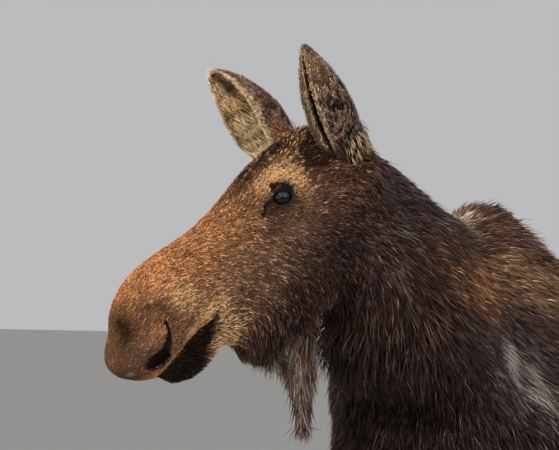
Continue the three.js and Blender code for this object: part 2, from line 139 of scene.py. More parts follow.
# ---------------------------------------------------------------- colour
def linear(code):
    """A hex sRGB colour as linear red, green and blue."""
    value = np.array([int(code[i:i + 2], 16) for i in (1, 3, 5)]) / 255
    return tuple(np.where(value <= 0.04045, value / 12.92, ((value + 0.055) / 1.055) ** 2.4).tolist())


COLOURS = {
    "seal_brown": ("Seal brown", "Neck, trunk and the back of the cheek", "#3a2d29"),
    "soot": ("Soot", "Jaw, throat and the line between the lips", "#15100e"),
    "umber": ("Umber", "Cheek and muzzle", "#614432"),
    "walnut": ("Walnut", "Front of the cheek", "#7a5c47"),
    "chestnut": ("Chestnut", "Bridge of the nose", "#9e6d46"),
    "tan": ("Tan", "Sides of the nose and the ears", "#a8774b"),
    "gold": ("Gold", "Over the eye and top of the nose", "#cca070"),
    "buff": ("Buff", "Ear hair, lip edge and mouth corner", "#cbb08a"),
    "rust": ("Rust", "Side of the neck and the hump", "#52331f"),
    "bistre": ("Bistre", "Crown and temple", "#301e15"),
    "fawn": ("Fawn", "Long hair over the hump", "#8a6a4c"),
    "ash": ("Ash", "Worn hair, bell and lower legs", "#90857f"),
}


# ---------------------------------------------------------------- noise
def scramble(cells, salt):
    """Whole numbers in three columns to even values from 0 to 1, always the same for the same cell."""
    cells = cells.astype(np.int64)
    h = (cells[..., 0] * 73856093) ^ (cells[..., 1] * 19349663) ^ (cells[..., 2] * 83492791)
    h = h ^ (salt * 2654435761)
    h = (h ^ (h >> 13)) * 1274126177 & 0x7FFFFFFF
    h = (h ^ (h >> 15)) * 668265263 & 0x7FFFFFFF
    return (h & 0xFFFFF) / 0xFFFFF


def noise(points, size, salt):
    """Smooth noise from -1 to 1: the values at the corners of each cell of a lattice, eased between them."""
    scaled = points / size
    base = np.floor(scaled)
    part = scaled - base
    part = part * part * (3 - 2 * part)
    total = np.zeros(len(points))
    for corner in np.ndindex(2, 2, 2):
        step = np.array(corner)
        share = np.prod(np.where(step == 1, part, 1 - part), axis=1)
        total += share * scramble(base + step, salt)
    return total * 2 - 1


def streaks(points, ways, size, salt):
    """Noise drawn out along the hair: seven samples, 0.7 of a cell apart along the lie, added up."""
    total = np.zeros(len(points))
    for step in range(-3, 4):
        total += noise(points + ways * (0.7 * size * step), size, salt)
    return total / 3


# ---------------------------------------------------------------- frames of the body
def in_head(points):
    """Places in the head's frame: forward, left, up from the poll."""
    away = points - POLL
    return np.stack([away @ FORWARD, away @ LEFT, away @ UP], axis=-1)


def from_head(places):
    """Places of the head's frame in the model's frame."""
    places = np.asarray(places, float)
    return POLL + places[..., :1] * FORWARD + places[..., 1:2] * LEFT + places[..., 2:3] * UP


def turn_head(ways):
    """Directions of the head's frame in the model's frame."""
    ways = np.asarray(ways, float)
    return ways[..., :1] * FORWARD + ways[..., 1:2] * LEFT + ways[..., 2:3] * UP


def ease(value, low, high):
    """0 below low, 1 above high, and a smooth step between."""
    share = np.clip((value - low) / (high - low), 0, 1)
    return share * share * (3 - 2 * share)


def mirrored(places):
    """The head's frame folded over its middle plane."""
    return np.stack([places[..., 0], np.abs(places[..., 1]), places[..., 2]], axis=-1)


def folded_body(points):
    """The model's frame measured from the trunk's middle plane and folded over it."""
    return mirrored((points - [MIDLINE, 0, 0])[:, [1, 0, 2]])[:, [1, 0, 2]]


def head_part(points):
    """1 on the head, 0 on the neck and body, eased over 60 mm across the line behind the cheek."""
    a, _, b = in_head(points).T
    ahead = (a + 0.052) * 0.906 + b * 0.4226
    return ease(ahead, -0.03, 0.03) * ease(b, -0.36, -0.33)


def from_line(places, line):
    """Distance from a bent line: to the nearest place on any of its stretches."""
    best = np.full(len(places), 1e9)
    for start, end in zip(line[:-1], line[1:]):
        run = end - start
        share = np.clip(((places - start) @ run) / (run @ run), 0, 1)
        best = np.minimum(best, np.linalg.norm(places - start - share[:, None] * run, axis=1))
    return best


def leg_part(points):
    """1 on the legs below the belly, 0 above."""
    return ease(points[:, 2], 0.98, 0.86)


# ---------------------------------------------------------------- markings
# In the head's frame: forward, left, up; how far it reaches along each; colour; strength
HEAD_MARKS = [
    ("cheek in front", (0.29, 0.07, -0.11), (0.17, 0.09, 0.09), "walnut", 0.80),
    ("bridge", (0.40, 0.0, 0.0), (0.17, 0.10, 0.065), "chestnut", 0.95),
    ("forehead", (0.21, 0.05, 0.0), (0.09, 0.07, 0.045), "chestnut", 0.38),
    ("top of the nose", (0.49, 0.0, 0.04), (0.09, 0.06, 0.030), "tan", 0.35),
    ("muzzle side", (0.56, 0.08, -0.055), (0.055, 0.07, 0.045), "umber", 0.55),
    # painted shade on the front of the muzzle
    ("muzzle front", (0.608, 0.028, -0.024), (0.032, 0.036, 0.046), "soot", 0.92),
    # painted highlight on the bulge inside the nostril's slit
    ("nostril bulge", (0.562, 0.082, -0.068), (0.019, 0.04, 0.020), "tan", 0.62),
    # painted rim light along the front edge of the nose
    ("front of the nose", (0.625, 0.0, -0.020), (0.03, 0.028, 0.05), "chestnut", 0.45),
    ("muzzle tip", (0.645, 0.0, -0.075), (0.03, 0.08, 0.04), "umber", 0.6),
    ("upper lip", (0.60, 0.06, -0.118), (0.09, 0.09, 0.024), "umber", 0.90),
    # painted highlight on the raised pad behind the nostril
    ("behind the nostril", (0.462, 0.065, -0.052), (0.030, 0.05, 0.030), "gold", 0.62),
    # painted light on the wing over the nostril
    ("over the nostril", (0.59, 0.08, -0.062), (0.020, 0.05, 0.014), "walnut", 0.50),
    ("edge of the upper lip", (0.622, 0.04, -0.132), (0.045, 0.06, 0.011), "tan", 0.60),
    ("lip roll", (0.466, 0.065, -0.112), (0.048, 0.05, 0.012), "gold", 0.85),
    ("corner of the mouth", (0.426, 0.06, -0.120), (0.019, 0.06, 0.019), "gold", 0.95),
    ("behind the mouth", (0.418, 0.06, -0.155), (0.030, 0.06, 0.042), "fawn", 0.70),
    ("pale behind the mouth", (0.430, 0.06, -0.160), (0.018, 0.06, 0.032), "buff", 0.30),
    ("middle of the cheek", (0.20, 0.10, -0.205), (0.10, 0.09, 0.06), "seal_brown", 0.50),
    ("low cheek", (0.335, 0.05, -0.253), (0.12, 0.10, 0.050), "seal_brown", 0.90),
    ("back of the cheek", (0.100, 0.11, -0.235), (0.110, 0.10, 0.10), "seal_brown", 0.93),
    # painted shade in the hollow below the eye
    ("below the eye", (0.215, 0.09, -0.070), (0.030, 0.06, 0.022), "seal_brown", 0.60),
    ("throat under the cheek", (0.150, 0.06, -0.345), (0.130, 0.13, 0.055), "seal_brown", 1.0),
    ("temple", (0.050, 0.085, -0.012), (0.058, 0.06, 0.048), "bistre", 0.92),
    ("over the eye", (0.165, 0.078, -0.004), (0.044, 0.045, 0.022), "gold", 0.85),
    ("behind the brow", (0.132, 0.088, -0.020), (0.017, 0.04, 0.028), "gold", 0.92),
    ("before the brow", (0.225, 0.06, -0.006), (0.030, 0.04, 0.022), "umber", 0.55),
    ("crown", (0.105, 0.0, 0.03), (0.140, 0.056, 0.050), "bistre", 1.0),
    ("ring of the eye", (0.176, 0.09, -0.043), (0.027, 0.05, 0.022), "umber", 0.80),
    ("rim of the eye", (0.177, 0.09, -0.042), (0.0185, 0.05, 0.0145), "soot", 1.0),
    ("front corner of the eye", (0.202, 0.09, -0.038), (0.018, 0.05, 0.012), "seal_brown", 0.85),
    ("tear", (0.226, 0.08, -0.042), (0.007, 0.05, 0.005), "soot", 0.9),
    ("pale below the tear", (0.240, 0.08, -0.050), (0.008, 0.05, 0.006), "gold", 0.35),
    ("bare spot on the lip", (0.640, 0.038, -0.100), (0.005, 0.014, 0.005), "ash", 0.9),
    ("behind the ear", (-0.050, 0.10, -0.12), (0.016, 0.05, 0.045), "tan", 0.55),
]
# In the model's frame, sideways from the trunk's middle plane, the same on both sides
BODY_MARKS = [
    ("throat", (0.0, -0.56, 1.40), (0.14, 0.14, 0.24), "soot", 0.60),
    ("low side of the neck", (0.15, -0.42, 1.36), (0.12, 0.15, 0.13), "soot", 0.38),
    ("side of the neck", (0.13, -0.48, 1.64), (0.10, 0.12, 0.07), "rust", 0.40),
    ("crest of the neck", (0.0, -0.50, 1.86), (0.10, 0.15, 0.07), "seal_brown", 0.6),
    ("whorl", (0.02, -0.285, 1.765), (0.06, 0.034, 0.035), "buff", 0.62),
    ("front of the hump", (0.10, -0.22, 1.70), (0.12, 0.07, 0.06), "rust", 0.30),
    ("hump", (0.0, -0.06, 1.74), (0.20, 0.18, 0.07), "rust", 0.45),
    ("side of the hump", (0.13, -0.08, 1.61), (0.13, 0.14, 0.065), "fawn", 0.50),
    ("pale side of the hump", (0.12, -0.22, 1.64), (0.07, 0.08, 0.04), "fawn", 0.50),
    ("gold before the shoulder", (0.14, -0.40, 1.610), (0.06, 0.08, 0.045), "chestnut", 0.34),
    ("back line", (0.0, 0.55, 1.60), (0.16, 0.60, 0.09), "rust", 0.45),
    ("shoulder", (0.28, -0.16, 1.30), (0.14, 0.20, 0.20), "seal_brown", 0.60),
    ("worn hair on the shoulder", (0.20, -0.38, 1.43), (0.07, 0.09, 0.10), "ash", 0.12),
    ("rump", (0.10, 1.05, 1.38), (0.10, 0.08, 0.14), "soot", 0.35),
    ("under the tail", (0.0, 1.10, 1.30), (0.035, 0.06, 0.06), "buff", 0.65),
    ("belly", (0.0, 0.40, 0.94), (0.20, 0.50, 0.08), "umber", 0.45),
    ("inside of the thigh", (0.06, 0.92, 0.95), (0.07, 0.16, 0.20), "ash", 0.55),
]


# Where single hairs are bleached and longer: model's frame from the middle plane; reach; share of the locks
WORN = [
    ((0.02, -0.280, 1.765), (0.06, 0.032, 0.035), 0.42), ((0.05, -0.08, 1.73), (0.14, 0.20, 0.09), 0.03),
    ((0.19, -0.40, 1.465), (0.05, 0.04, 0.045), 0.27), ((0.215, -0.33, 1.39), (0.05, 0.05, 0.07), 0.27),
    ((0.10, -0.50, 1.60), (0.20, 0.25, 0.30), 0.010), ((0.0, 0.50, 1.55), (0.20, 0.70, 0.15), 0.02),
]


def worn_share(points):
    """The share of bleached locks: the largest of the table's marks at each point."""
    folded = folded_body(points)
    marks = [np.clip(bell_shape(folded, at, reach) * 1.4, 0, 1) * share for at, reach, share in WORN]
    return np.max(marks, axis=0)


def laid_over(colour, places, marks, part, palette):
    """Each mark in turn mixed over the colour below it, by strength times its bell shape."""
    for _, at, reach, name, strength in marks:
        near = np.clip(bell_shape(places, at, reach) * 1.6, 0, 1)
        colour = over(colour, palette[name], near * strength * part)
    return colour


def markings(points, palette):
    """The coat's colour at each point: ground colour, marks of the body and of the head, then mottling."""
    head = head_part(points)
    places = mirrored(in_head(points))
    wander = np.stack([noise(points, 0.045, salt) for salt in (5, 6, 7)], axis=1)
    ground = palette["seal_brown"] * (1 - head[:, None]) + palette["umber"] * head[:, None]
    folded = folded_body(points)
    colour = laid_over(ground, folded + wander * 0.02, BODY_MARKS, 1 - head, palette)
    # lower legs turn ash grey below the knee and hock, paler inside, and dark again at the hoof
    low = ease(points[:, 2] + 0.03 * noise(points, 0.05, 8), 0.72, 0.42) * ease(points[:, 2], 0.05, 0.13)
    colour = over(colour, palette["ash"], low * (0.45 + 0.4 * ease(folded[:, 0], 0.20, 0.11)))
    colour = laid_over(colour, places + wander * 0.006, HEAD_MARKS, head, palette)
    a, q, b = (places + wander * 0.002).T
    side_on = np.stack([a, b], axis=1)
    above = b - np.interp(a, LIP_LINE[:, 0], LIP_LINE[:, 1])
    edge = ease(a, 0.42, 0.45) * ease(a, 0.655, 0.625) * np.exp(-((above - 0.008) / 0.006) ** 2)
    # the chin is sooty ahead of a line that runs down and forward from the mouth's corner, pale behind it
    ahead = (a - 0.447) / 1.8 + (b + 0.147) * 0.83
    under = ease(above, 0.001, -0.003) * ease(a, 0.425, 0.432) * ease(a, 0.70, 0.66) * ease(b, -0.235, -0.215)
    outer = ease(q, 0.02, 0.05)
    # painted shade along the arc over the nostril and the crease above the lip, grooves that fold_head also
    # cuts
    folds = (0.60 * np.exp(-(from_line(side_on, NOSE_ARC) / 0.009) ** 2) * outer
             + 0.55 * np.exp(-(from_line(side_on, LIP_CREASE) / 0.005) ** 2) * outer)
    crown = np.exp(-((places - [0.07, 0.0, 0.03]) / [0.12, 0.055, 0.05]) ** 2).prod(axis=1) * head
    flecks = np.clip(crown * 2, 0, 1) * ease(streaks(points, FORWARD[None], 0.005, 11), 0.30, 0.60)
    for name, amount in (
            ("tan", edge * 0.55),  # hanging edge of the upper lip
            ("soot", under * ease(ahead, -0.005, 0.007) * 0.93),
            ("gold", under * ease(ahead, 0.004, -0.006) * ease(a, 0.500, 0.470) * 0.55),
            ("soot", ease(from_line(side_on, LID_LINE), 0.0080, 0.0048) * (q > 0.05) * 0.97),  # over the eye
            # painted shade in those grooves
            ("seal_brown", np.clip(folds, 0, 1))):
        colour = over(colour, palette[name], amount * head)
    colour = over(colour, palette["gold"], flecks * 0.50)
    mottle = 1 + 0.10 * noise(points, 0.022, 9) + 0.10 * noise(points, 0.07, 10)
    return np.clip(colour * mottle[:, None], 0.002, 1)


# ---------------------------------------------------------------- lie of the coat
# In the head's frame: forward, left, up | way the hair lies | length in mm | lift in degrees
HEAD_LIE = [
    (0.66, 0.0, -0.07, -0.5, 0, 0.8, 4, 12), (0.62, 0.0, -0.01, -1, 0, 0.35, 6, 12),
    (0.45, 0, 0.04, -1, 0, 0, 10, 11), (0.30, 0, 0.02, -1, 0, 0, 12, 11), (0.15, 0, 0.03, -1, 0, 0, 14, 14),
    (0.03, 0, 0.02, -1, 0, 0, 19, 26),
    (0.55, 0.08, -0.055, -1, 0, 0.15, 7, 12), (0.60, 0.07, -0.115, -0.9, 0, -0.25, 6, 12),
    (0.50, 0.07, -0.12, -0.9, 0, -0.3, 7, 12), (0.48, 0.07, -0.06, -0.95, 0, -0.2, 9, 13),
    (0.43, 0.06, -0.11, -1, 0, -0.4, 10, 15), (0.55, 0.03, -0.19, -0.8, 0, -0.3, 11, 14),
    (0.50, 0.03, -0.20, -0.6, 0, -0.8, 15, 18), (0.445, 0.03, -0.18, -1, 0, -0.25, 19, 24),
    (0.41, 0.03, -0.235, 0.6, 0, -0.8, 30, 10),
    (0.36, 0.07, -0.05, -0.8, 0, -0.5, 12, 12), (0.33, 0.07, -0.13, -0.55, 0, -0.85, 13, 12),
    (0.22, 0.10, -0.15, -0.35, 0, -0.93, 15, 12), (0.26, 0.08, -0.24, 0.1, 0, -1, 19, 14),
    (0.37, 0.03, -0.28, 0.4, 0, -0.9, 30, 16), (0.24, 0.05, -0.30, 0.5, 0, -0.85, 28, 16),
    (0.20, 0.09, -0.09, -0.6, 0, -0.8, 11, 11), (0.165, 0.085, -0.005, -0.95, 0.1, 0.25, 10, 14),
    (0.12, 0.10, -0.04, -1, 0, -0.1, 11, 12), (0.07, 0.10, -0.03, -0.9, 0.1, -0.4, 14, 14),
    (-0.02, 0.08, -0.04, -0.8, 0, -0.5, 18, 20), (0.04, 0.11, -0.17, -0.4, 0, -0.9, 19, 13),
    (0.0, 0.09, -0.26, -0.1, 0, -1, 25, 14), (0.1, 0, -0.32, 0.2, 0, -0.95, 34, 18),
]
# In the model's frame, from the trunk's middle plane
BODY_LIE = [
    (-0.05, -0.60, 1.90, 0.1, 0.8, -0.6, 36, 12), (0.0, -0.43, 1.82, 0.1, 0.8, -0.55, 42, 11),
    (0.12, -0.50, 1.70, 0, 0.70, -0.72, 32, 11), (0.16, -0.42, 1.58, 0, 0.66, -0.75, 34, 11),
    (0.18, -0.32, 1.45, 0, 0.62, -0.78, 36, 11), (-0.03, -0.62, 1.50, 0, 0.15, -1, 42, 13),
    (0.0, -0.50, 1.25, 0, 0.2, -1, 42, 14), (0.0, -0.28, 1.76, 0, 0.95, 0.2, 44, 13),
    (0.08, -0.28, 1.72, 0.2, 0.85, -0.2, 44, 13), (0.0, -0.10, 1.785, 0, 1, -0.05, 56, 9),
    (0.14, -0.10, 1.66, 0.1, 0.8, -0.55, 46, 13), (0.24, -0.12, 1.42, 0, 0.62, -0.78, 38, 10),
    (0.24, -0.20, 1.18, 0, 0.35, -0.94, 32, 10), (0.0, 0.28, 1.62, 0, 1, -0.1, 40, 12),
    (0.32, 0.30, 1.30, 0, 0.85, -0.5, 36, 10), (0.28, 0.35, 1.08, 0, 0.8, -0.55, 36, 11),
    (0.0, 0.40, 0.96, 0, 1, -0.1, 34, 12), (0.0, 0.65, 1.52, 0, 1, 0.0, 38, 11),
    (0.28, 0.62, 1.26, 0, 0.78, -0.62, 36, 10), (0.0, 0.95, 1.52, 0, 1, -0.3, 34, 12),
    (0.22, 0.90, 1.36, 0, 0.6, -0.8, 34, 10), (0.08, 1.09, 1.25, 0, 0.1, -1, 34, 12),
    (0.20, 0.82, 1.12, 0, 0.35, -0.94, 30, 10), (0.17, 0.90, 0.80, 0, 0.15, -1, 22, 10),
    (0.15, 0.95, 0.40, 0, 0, -1, 12, 10), (0.15, 0.92, 0.10, 0, -0.1, -1, 13, 14),
    (0.16, -0.13, 0.80, 0, 0.1, -1, 22, 10), (0.15, -0.15, 0.35, 0, 0, -1, 12, 10),
    (0.15, -0.20, 0.10, 0, -0.1, -1, 13, 14), (0.0, 1.08, 1.42, 0, 0.3, -1, 38, 16),
]


HEAD_REACH, BODY_REACH = 0.06, 0.16  # how far an arrow of each table counts


def lie(points):
    """Way, length and lift of the hair at each point: the tables' arrows, each weighted by (its reach over
    its distance) to the fourth power, the head's on the head and the body's elsewhere."""
    head = head_part(points)
    here = in_head(points)
    side = np.where(here[:, 1] < 0, -1.0, 1.0)
    ways = np.zeros_like(points)
    others = np.zeros((len(points), 2))
    total = np.zeros(len(points))
    for a, q, b, da, dq, db, length, lift in HEAD_LIE:
        apart = ((mirrored(here) - np.array([a, q, b])) ** 2).sum(axis=1)
        share = head / (apart / HEAD_REACH ** 2 + 0.01) ** 2
        way = np.stack([np.full(len(points), da), dq * side, np.full(len(points), db)], axis=1)
        ways += share[:, None] * unit(turn_head(way))
        others += share[:, None] * np.array([length, lift])
        total += share
    across = points[:, 0] - MIDLINE
    flank = np.where(across < 0, -1.0, 1.0)
    folded = folded_body(points)
    for x, y, z, dx, dy, dz, length, lift in BODY_LIE:
        apart = ((folded - np.array([abs(x), y, z])) ** 2).sum(axis=1)
        share = (1 - head) / (apart / BODY_REACH ** 2 + 0.01) ** 2
        way = unit(np.array([dx, dy, dz]))
        ways += share[:, None] * np.stack([way[0] * flank, way[1] + 0 * flank, way[2] + 0 * flank], axis=1)
        others += share[:, None] * np.array([length, lift])
        total += share
    others /= total[:, None]
    return unit(ways), others[:, 0] / 1000, np.radians(others[:, 1])


LEAST_DEPTH = 0.0015  # of the skin under the coat's tips
DEPTH_SHARE = 0.20  # and this share of the hair's length
BELL_DEPTH = 0.006  # and more on the bell


def coat_depth(points):
    """How deep the skin lies under the coat's tips: a share of the hair's length, less over the hooves."""
    _, length, _ = lie(points)
    low, high = (np.array(corner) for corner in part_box("bell"))
    bell = inside(points, low - 0.01, high + 0.01) * ease(points[:, 2], high[2], high[2] - 0.06)
    return (LEAST_DEPTH + DEPTH_SHARE * length + BELL_DEPTH * bell) * ease(points[:, 2], 0.062, 0.10)


# ---------------------------------------------------------------- meshes
def triangle_normals(points, faces):
    """Cross products of the triangles' sides, twice their area long."""
    a, b, c = (points[faces[:, i]] for i in range(3))
    return np.cross(b - a, c - a)


def point_normals(points, faces):
    """Each point's normal: the sum of the triangles' cross products round it."""
    across = triangle_normals(points, faces)
    total = np.zeros_like(points)
    for i in range(3):
        for k in range(3):
            total[:, k] += np.bincount(faces[:, i], across[:, k], len(points))
    return unit(total)


def neighbour_pull(points, edges, count):
    """From each point to the mean of its neighbours."""
    total = np.zeros_like(points)
    for k in range(3):
        total[:, k] += np.bincount(edges[:, 0], points[edges[:, 1], k], len(points))
        total[:, k] += np.bincount(edges[:, 1], points[edges[:, 0], k], len(points))
    return total / count[:, None] - points


def smoothed(points, edges, strength, rounds):
    """Taubin smoothing: each round pulls half way to the neighbours' mean, then pushes back slightly more."""
    count = np.bincount(edges.ravel(), minlength=len(points)).clip(1)
    for _ in range(rounds):
        points = points + 0.5 * strength[:, None] * neighbour_pull(points, edges, count)
        points = points - 0.52 * strength[:, None] * neighbour_pull(points, edges, count)
    return points


def edges_of(faces):
    """Each edge of the faces once."""
    pairs = np.concatenate([faces[:, [i, (i + 1) % faces.shape[1]]] for i in range(faces.shape[1])])
    return np.unique(np.sort(pairs, axis=1), axis=0)


def make_mesh(name, points, faces):
    """A mesh from an array of places and one of faces with the same number of corners each."""
    mesh = bpy.data.meshes.new(name)
    mesh.vertices.add(len(points))
    mesh.vertices.foreach_set("co", np.ascontiguousarray(points, dtype=np.float32).ravel())
    mesh.loops.add(faces.size)
    mesh.loops.foreach_set("vertex_index", np.ascontiguousarray(faces, dtype=np.int32).ravel())
    mesh.polygons.add(len(faces))
    mesh.polygons.foreach_set("loop_start", np.arange(0, faces.size, faces.shape[1], dtype=np.int32))
    mesh.polygons.foreach_set("use_smooth", np.full(len(faces), True))
    mesh.update(calc_edges=True)
    return mesh


def colour_points(mesh, name, colours, alpha):
    """A colour for each point of a mesh, with a fourth value beside it."""
    values = np.concatenate([colours, np.broadcast_to(alpha, len(colours))[:, None]], axis=1)
    layer = mesh.attributes.new(name, "FLOAT_COLOR", "POINT")
    layer.data.foreach_set("color", np.ascontiguousarray(values, dtype=np.float32).ravel())


def value_points(mesh, name, values):
    """A number for each point of a mesh."""
    layer = mesh.attributes.new(name, "FLOAT", "POINT")
    layer.data.foreach_set("value", np.ascontiguousarray(values, dtype=np.float32))


def place(name, mesh, material, nodes=()):
    """Puts a mesh in the scene as a piece of the moose, in place of the solids named."""
    piece = bpy.data.objects.new(name, mesh)
    bpy.context.scene.collection.objects.link(piece)
    mesh.materials.append(material)
    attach(piece, "root")
    if nodes:
        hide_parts(*nodes)


def inside(points, low, high):
    """Whether each point lies in a box."""
    return ((points > low) & (points < high)).all(axis=1)


def read_mesh(mesh, corners):
    """A mesh's places and its faces, all with the same number of corners."""
    points = np.empty(len(mesh.vertices) * 3, np.float32)
    mesh.vertices.foreach_get("co", points)
    faces = np.empty(len(mesh.loops), np.int32)
    mesh.loops.foreach_get("vertex_index", faces)
    return points.reshape(-1, 3).astype(float), faces.reshape(-1, corners)


def facing_out(points, faces):
    """The faces of a closed shell, turned round when the volume they enclose comes out below zero."""
    a, b, c = (points[faces[:, i]] - points.mean(axis=0) for i in range(3))
    return faces if (a * np.cross(b, c)).sum() > 0 else faces[:, ::-1]


def tube_faces(rows, sides):
    """Triangles between rings of equal length, each split from its first corner to its third."""
    grid = np.arange(rows * sides).reshape(rows, sides)
    right = np.roll(grid, -1, axis=1)
    quads = np.stack([grid[:-1], right[:-1], right[1:], grid[1:]], axis=-1).reshape(-1, 4)
    return np.concatenate([quads[:, [0, 1, 2]], quads[:, [0, 2, 3]]]), grid, right


def closed_tube(rings, ends=None):
    """Rings of places, each the same length, as a closed shell with a fan of triangles at each end, to the
    places given or to the middles of the end rings."""
    count, sides = rings.shape[:2]
    if ends is None:
        ends = [rings[0].mean(axis=0), rings[-1].mean(axis=0)]
    points = np.concatenate([rings.reshape(-1, 3), ends])
    faces, grid, right = tube_faces(count, sides)
    first, last = np.full(sides, count * sides), np.full(sides, count * sides + 1)
    faces = np.concatenate([
        faces, np.stack([right[0], grid[0], first], axis=1), np.stack([grid[-1], right[-1], last], axis=1)])
    return points, facing_out(points, faces)


# ---------------------------------------------------------------- materials
def add(tree, kind, inputs=None, **settings):
    """Adds one node: its own settings by name, and each input's value or the output that feeds it."""
    node = tree.nodes.new(kind)
    for name, value in settings.items():
        setattr(node, name, value)
    for socket, value in (inputs or {}).items():
        if isinstance(value, bpy.types.NodeSocket):
            tree.links.new(value, node.inputs[socket])
        else:
            node.inputs[socket].default_value = value
    return node


def new_material(name):
    """An empty material and its node tree."""
    material = bpy.data.materials.new(name)
    material.use_nodes = True
    material.node_tree.nodes.clear()
    return material, material.node_tree


def finish_material(tree, inputs):
    """Ends a material in one Principled shader."""
    shader = add(tree, "ShaderNodeBsdfPrincipled", inputs)
    add(tree, "ShaderNodeOutputMaterial", {"Surface": shader.outputs[0]})


def attribute(tree, name):
    """The node of a mesh's own attribute."""
    return add(tree, "ShaderNodeAttribute", attribute_name=name)


def object_space(tree):
    """The output that gives each spot's place on the object."""
    return add(tree, "ShaderNodeTexCoord").outputs["Object"]


def ranged(tree, value, low, high, low_result, high_result):
    """An output carried from one range to another, held at its ends."""
    return add(tree, "ShaderNodeMapRange", {
        "Value": value, "From Min": low, "From Max": high, "To Min": low_result, "To Max": high_result,
    }).outputs["Result"]


def multiplied(tree, colour, shade):
    """A colour times a shade."""
    return add(tree, "ShaderNodeMix", {"Factor": 1.0, "A": colour, "B": shade},
               data_type="RGBA", blend_type="MULTIPLY").outputs["Result"]


def hair_material(name, painted_root_shade, painted_tip_highlight):
    """Guard hair: keratin, a dry fibre that shines a little along its length. Each lock's colour is darkened
    and reddened towards its root as painted shade between the hairs, and lightened towards its tip as a
    painted highlight of lit strands."""
    material, tree = new_material(name)
    coat = attribute(tree, "coat")
    # painted shade: the colour raised to a power above one at the root, deeper and redder, and a little below
    # one at the tip
    painted_shade_gamma = ranged(tree, coat.outputs["Alpha"], 0.0, 1.0, 1.25, 0.94)
    deep = add(tree, "ShaderNodeGamma", {"Color": coat.outputs["Color"], "Gamma": painted_shade_gamma})
    # painted shade at the root and painted highlight at the tip, by the share along the lock
    along = ranged(tree, coat.outputs["Alpha"], 0.0, 1.0, painted_root_shade, painted_tip_highlight)
    finish_material(tree, {
        "Base Color": multiplied(tree, deep.outputs["Color"], along), "Roughness": 0.62, "IOR": 1.45,
        "Specular IOR Level": 0.07})
    return material


def hide_material():
    """Short underfur over hide: matt, with grain about 2 mm wide, the coat's colour darkened to between half
    and nine tenths of itself as painted shade under the hair, varying with the grain; bare leather in the
    nostrils and lips is smoother, so that it shines a little."""
    material, tree = new_material("underfur over hide")
    coat, bare = attribute(tree, "coat"), attribute(tree, "bare")
    grain = add(tree, "ShaderNodeTexNoise", {
        "Vector": object_space(tree), "Scale": 420.0, "Detail": 4.0, "Roughness": 0.6}).outputs["Fac"]
    # painted shade under the hair: the coat's colour times 0.5 to 0.9, following the grain
    shade = ranged(tree, grain, 0.3, 0.7, 0.5, 0.9)
    bump = add(tree, "ShaderNodeBump", {"Height": grain, "Strength": 0.5, "Distance": 0.002})
    finish_material(tree, {
        "Base Color": multiplied(tree, coat.outputs["Color"], shade),
        "Roughness": ranged(tree, bare.outputs["Fac"], 0.0, 1.0, 0.85, 0.55), "IOR": 1.45,
        "Specular IOR Level": 0.06, "Normal": bump.outputs["Normal"]})
    return material


def lid_material():
    """Bare eyelid hide: dark, slightly oily leather with creases about 1.5 mm apart."""
    material, tree = new_material("eyelid hide")
    crease = add(tree, "ShaderNodeTexVoronoi", {"Vector": object_space(tree), "Scale": 600.0})
    bump = add(tree, "ShaderNodeBump", {
        "Height": crease.outputs["Distance"], "Strength": 0.35, "Distance": 0.0008})
    finish_material(tree, {
        "Base Color": attribute(tree, "coat").outputs["Color"], "Roughness": 0.6, "IOR": 1.45,
        "Specular IOR Level": 0.10, "Normal": bump.outputs["Normal"]})
    return material


def eye_material():
    """A wet cornea over a dark iris: the colour lies under a clear, nearly mirror-smooth tear film."""
    material, tree = new_material("wet cornea over brown iris")
    finish_material(tree, {
        "Base Color": attribute(tree, "coat").outputs["Color"], "Roughness": 0.3, "IOR": 1.38,
        "Specular IOR Level": 0.02, "Coat Weight": 0.35, "Coat Roughness": 0.05, "Coat IOR": 1.34})
    return material


def horn_material():
    """Hoof horn: keratin grown in rings and scuffed by the ground, nearly black and half matt."""
    material, tree = new_material("hoof horn")
    spot = object_space(tree)
    ring = add(tree, "ShaderNodeTexWave", {
        "Vector": spot, "Scale": 30.0, "Distortion": 1.6, "Detail": 2.0, "Detail Scale": 2.0},
        wave_type="BANDS", bands_direction="Z")
    scuff = add(tree, "ShaderNodeTexNoise", {"Vector": spot, "Scale": 90.0, "Detail": 5.0}).outputs["Fac"]
    tone = add(tree, "ShaderNodeValToRGB", {"Fac": scuff})
    for stop, place_on_ramp, code in zip(tone.color_ramp.elements, (0.35, 0.75), ("#1b1714", "#4a4038")):
        stop.position = place_on_ramp
        stop.color = (*linear(code), 1)
    bump = add(tree, "ShaderNodeBump", {"Height": ring.outputs["Fac"], "Strength": 0.4, "Distance": 0.0012})
    finish_material(tree, {
        "Base Color": tone.outputs["Color"], "Roughness": ranged(tree, scuff, 0.0, 1.0, 0.35, 0.65),
        "IOR": 1.54, "Normal": bump.outputs["Normal"]})
    return material


def floor_material():
    """Matt studio paint, off white."""
    material, tree = new_material("matt studio floor")
    finish_material(tree, {"Base Color": (*linear("#c4c2bd"), 1), "Roughness": 0.9})
    return material


# ---------------------------------------------------------------- settings
def number_setting(name, description, default, low=0.0, high=1000.0, measure="NONE"):
    """A number setting."""
    return bpy.props.FloatProperty(
        name=name, description=description, default=default, min=low, max=high, unit=measure)


def length_setting(name, description, default, low=0.0, high=30.0):
    """A size in metres."""
    return number_setting(name, description, default, low, high, "LENGTH")


def count_setting(name, description, default, low=0, high=33000):
    """A count."""
    return bpy.props.IntProperty(name=name, description=description, default=default, min=low, max=high)


def colour_setting(name, description, code):
    """A colour setting with its default from a hex code."""
    return bpy.props.FloatVectorProperty(
        name=name, description=description, subtype="COLOR", size=3, min=0, max=1, default=linear(code))


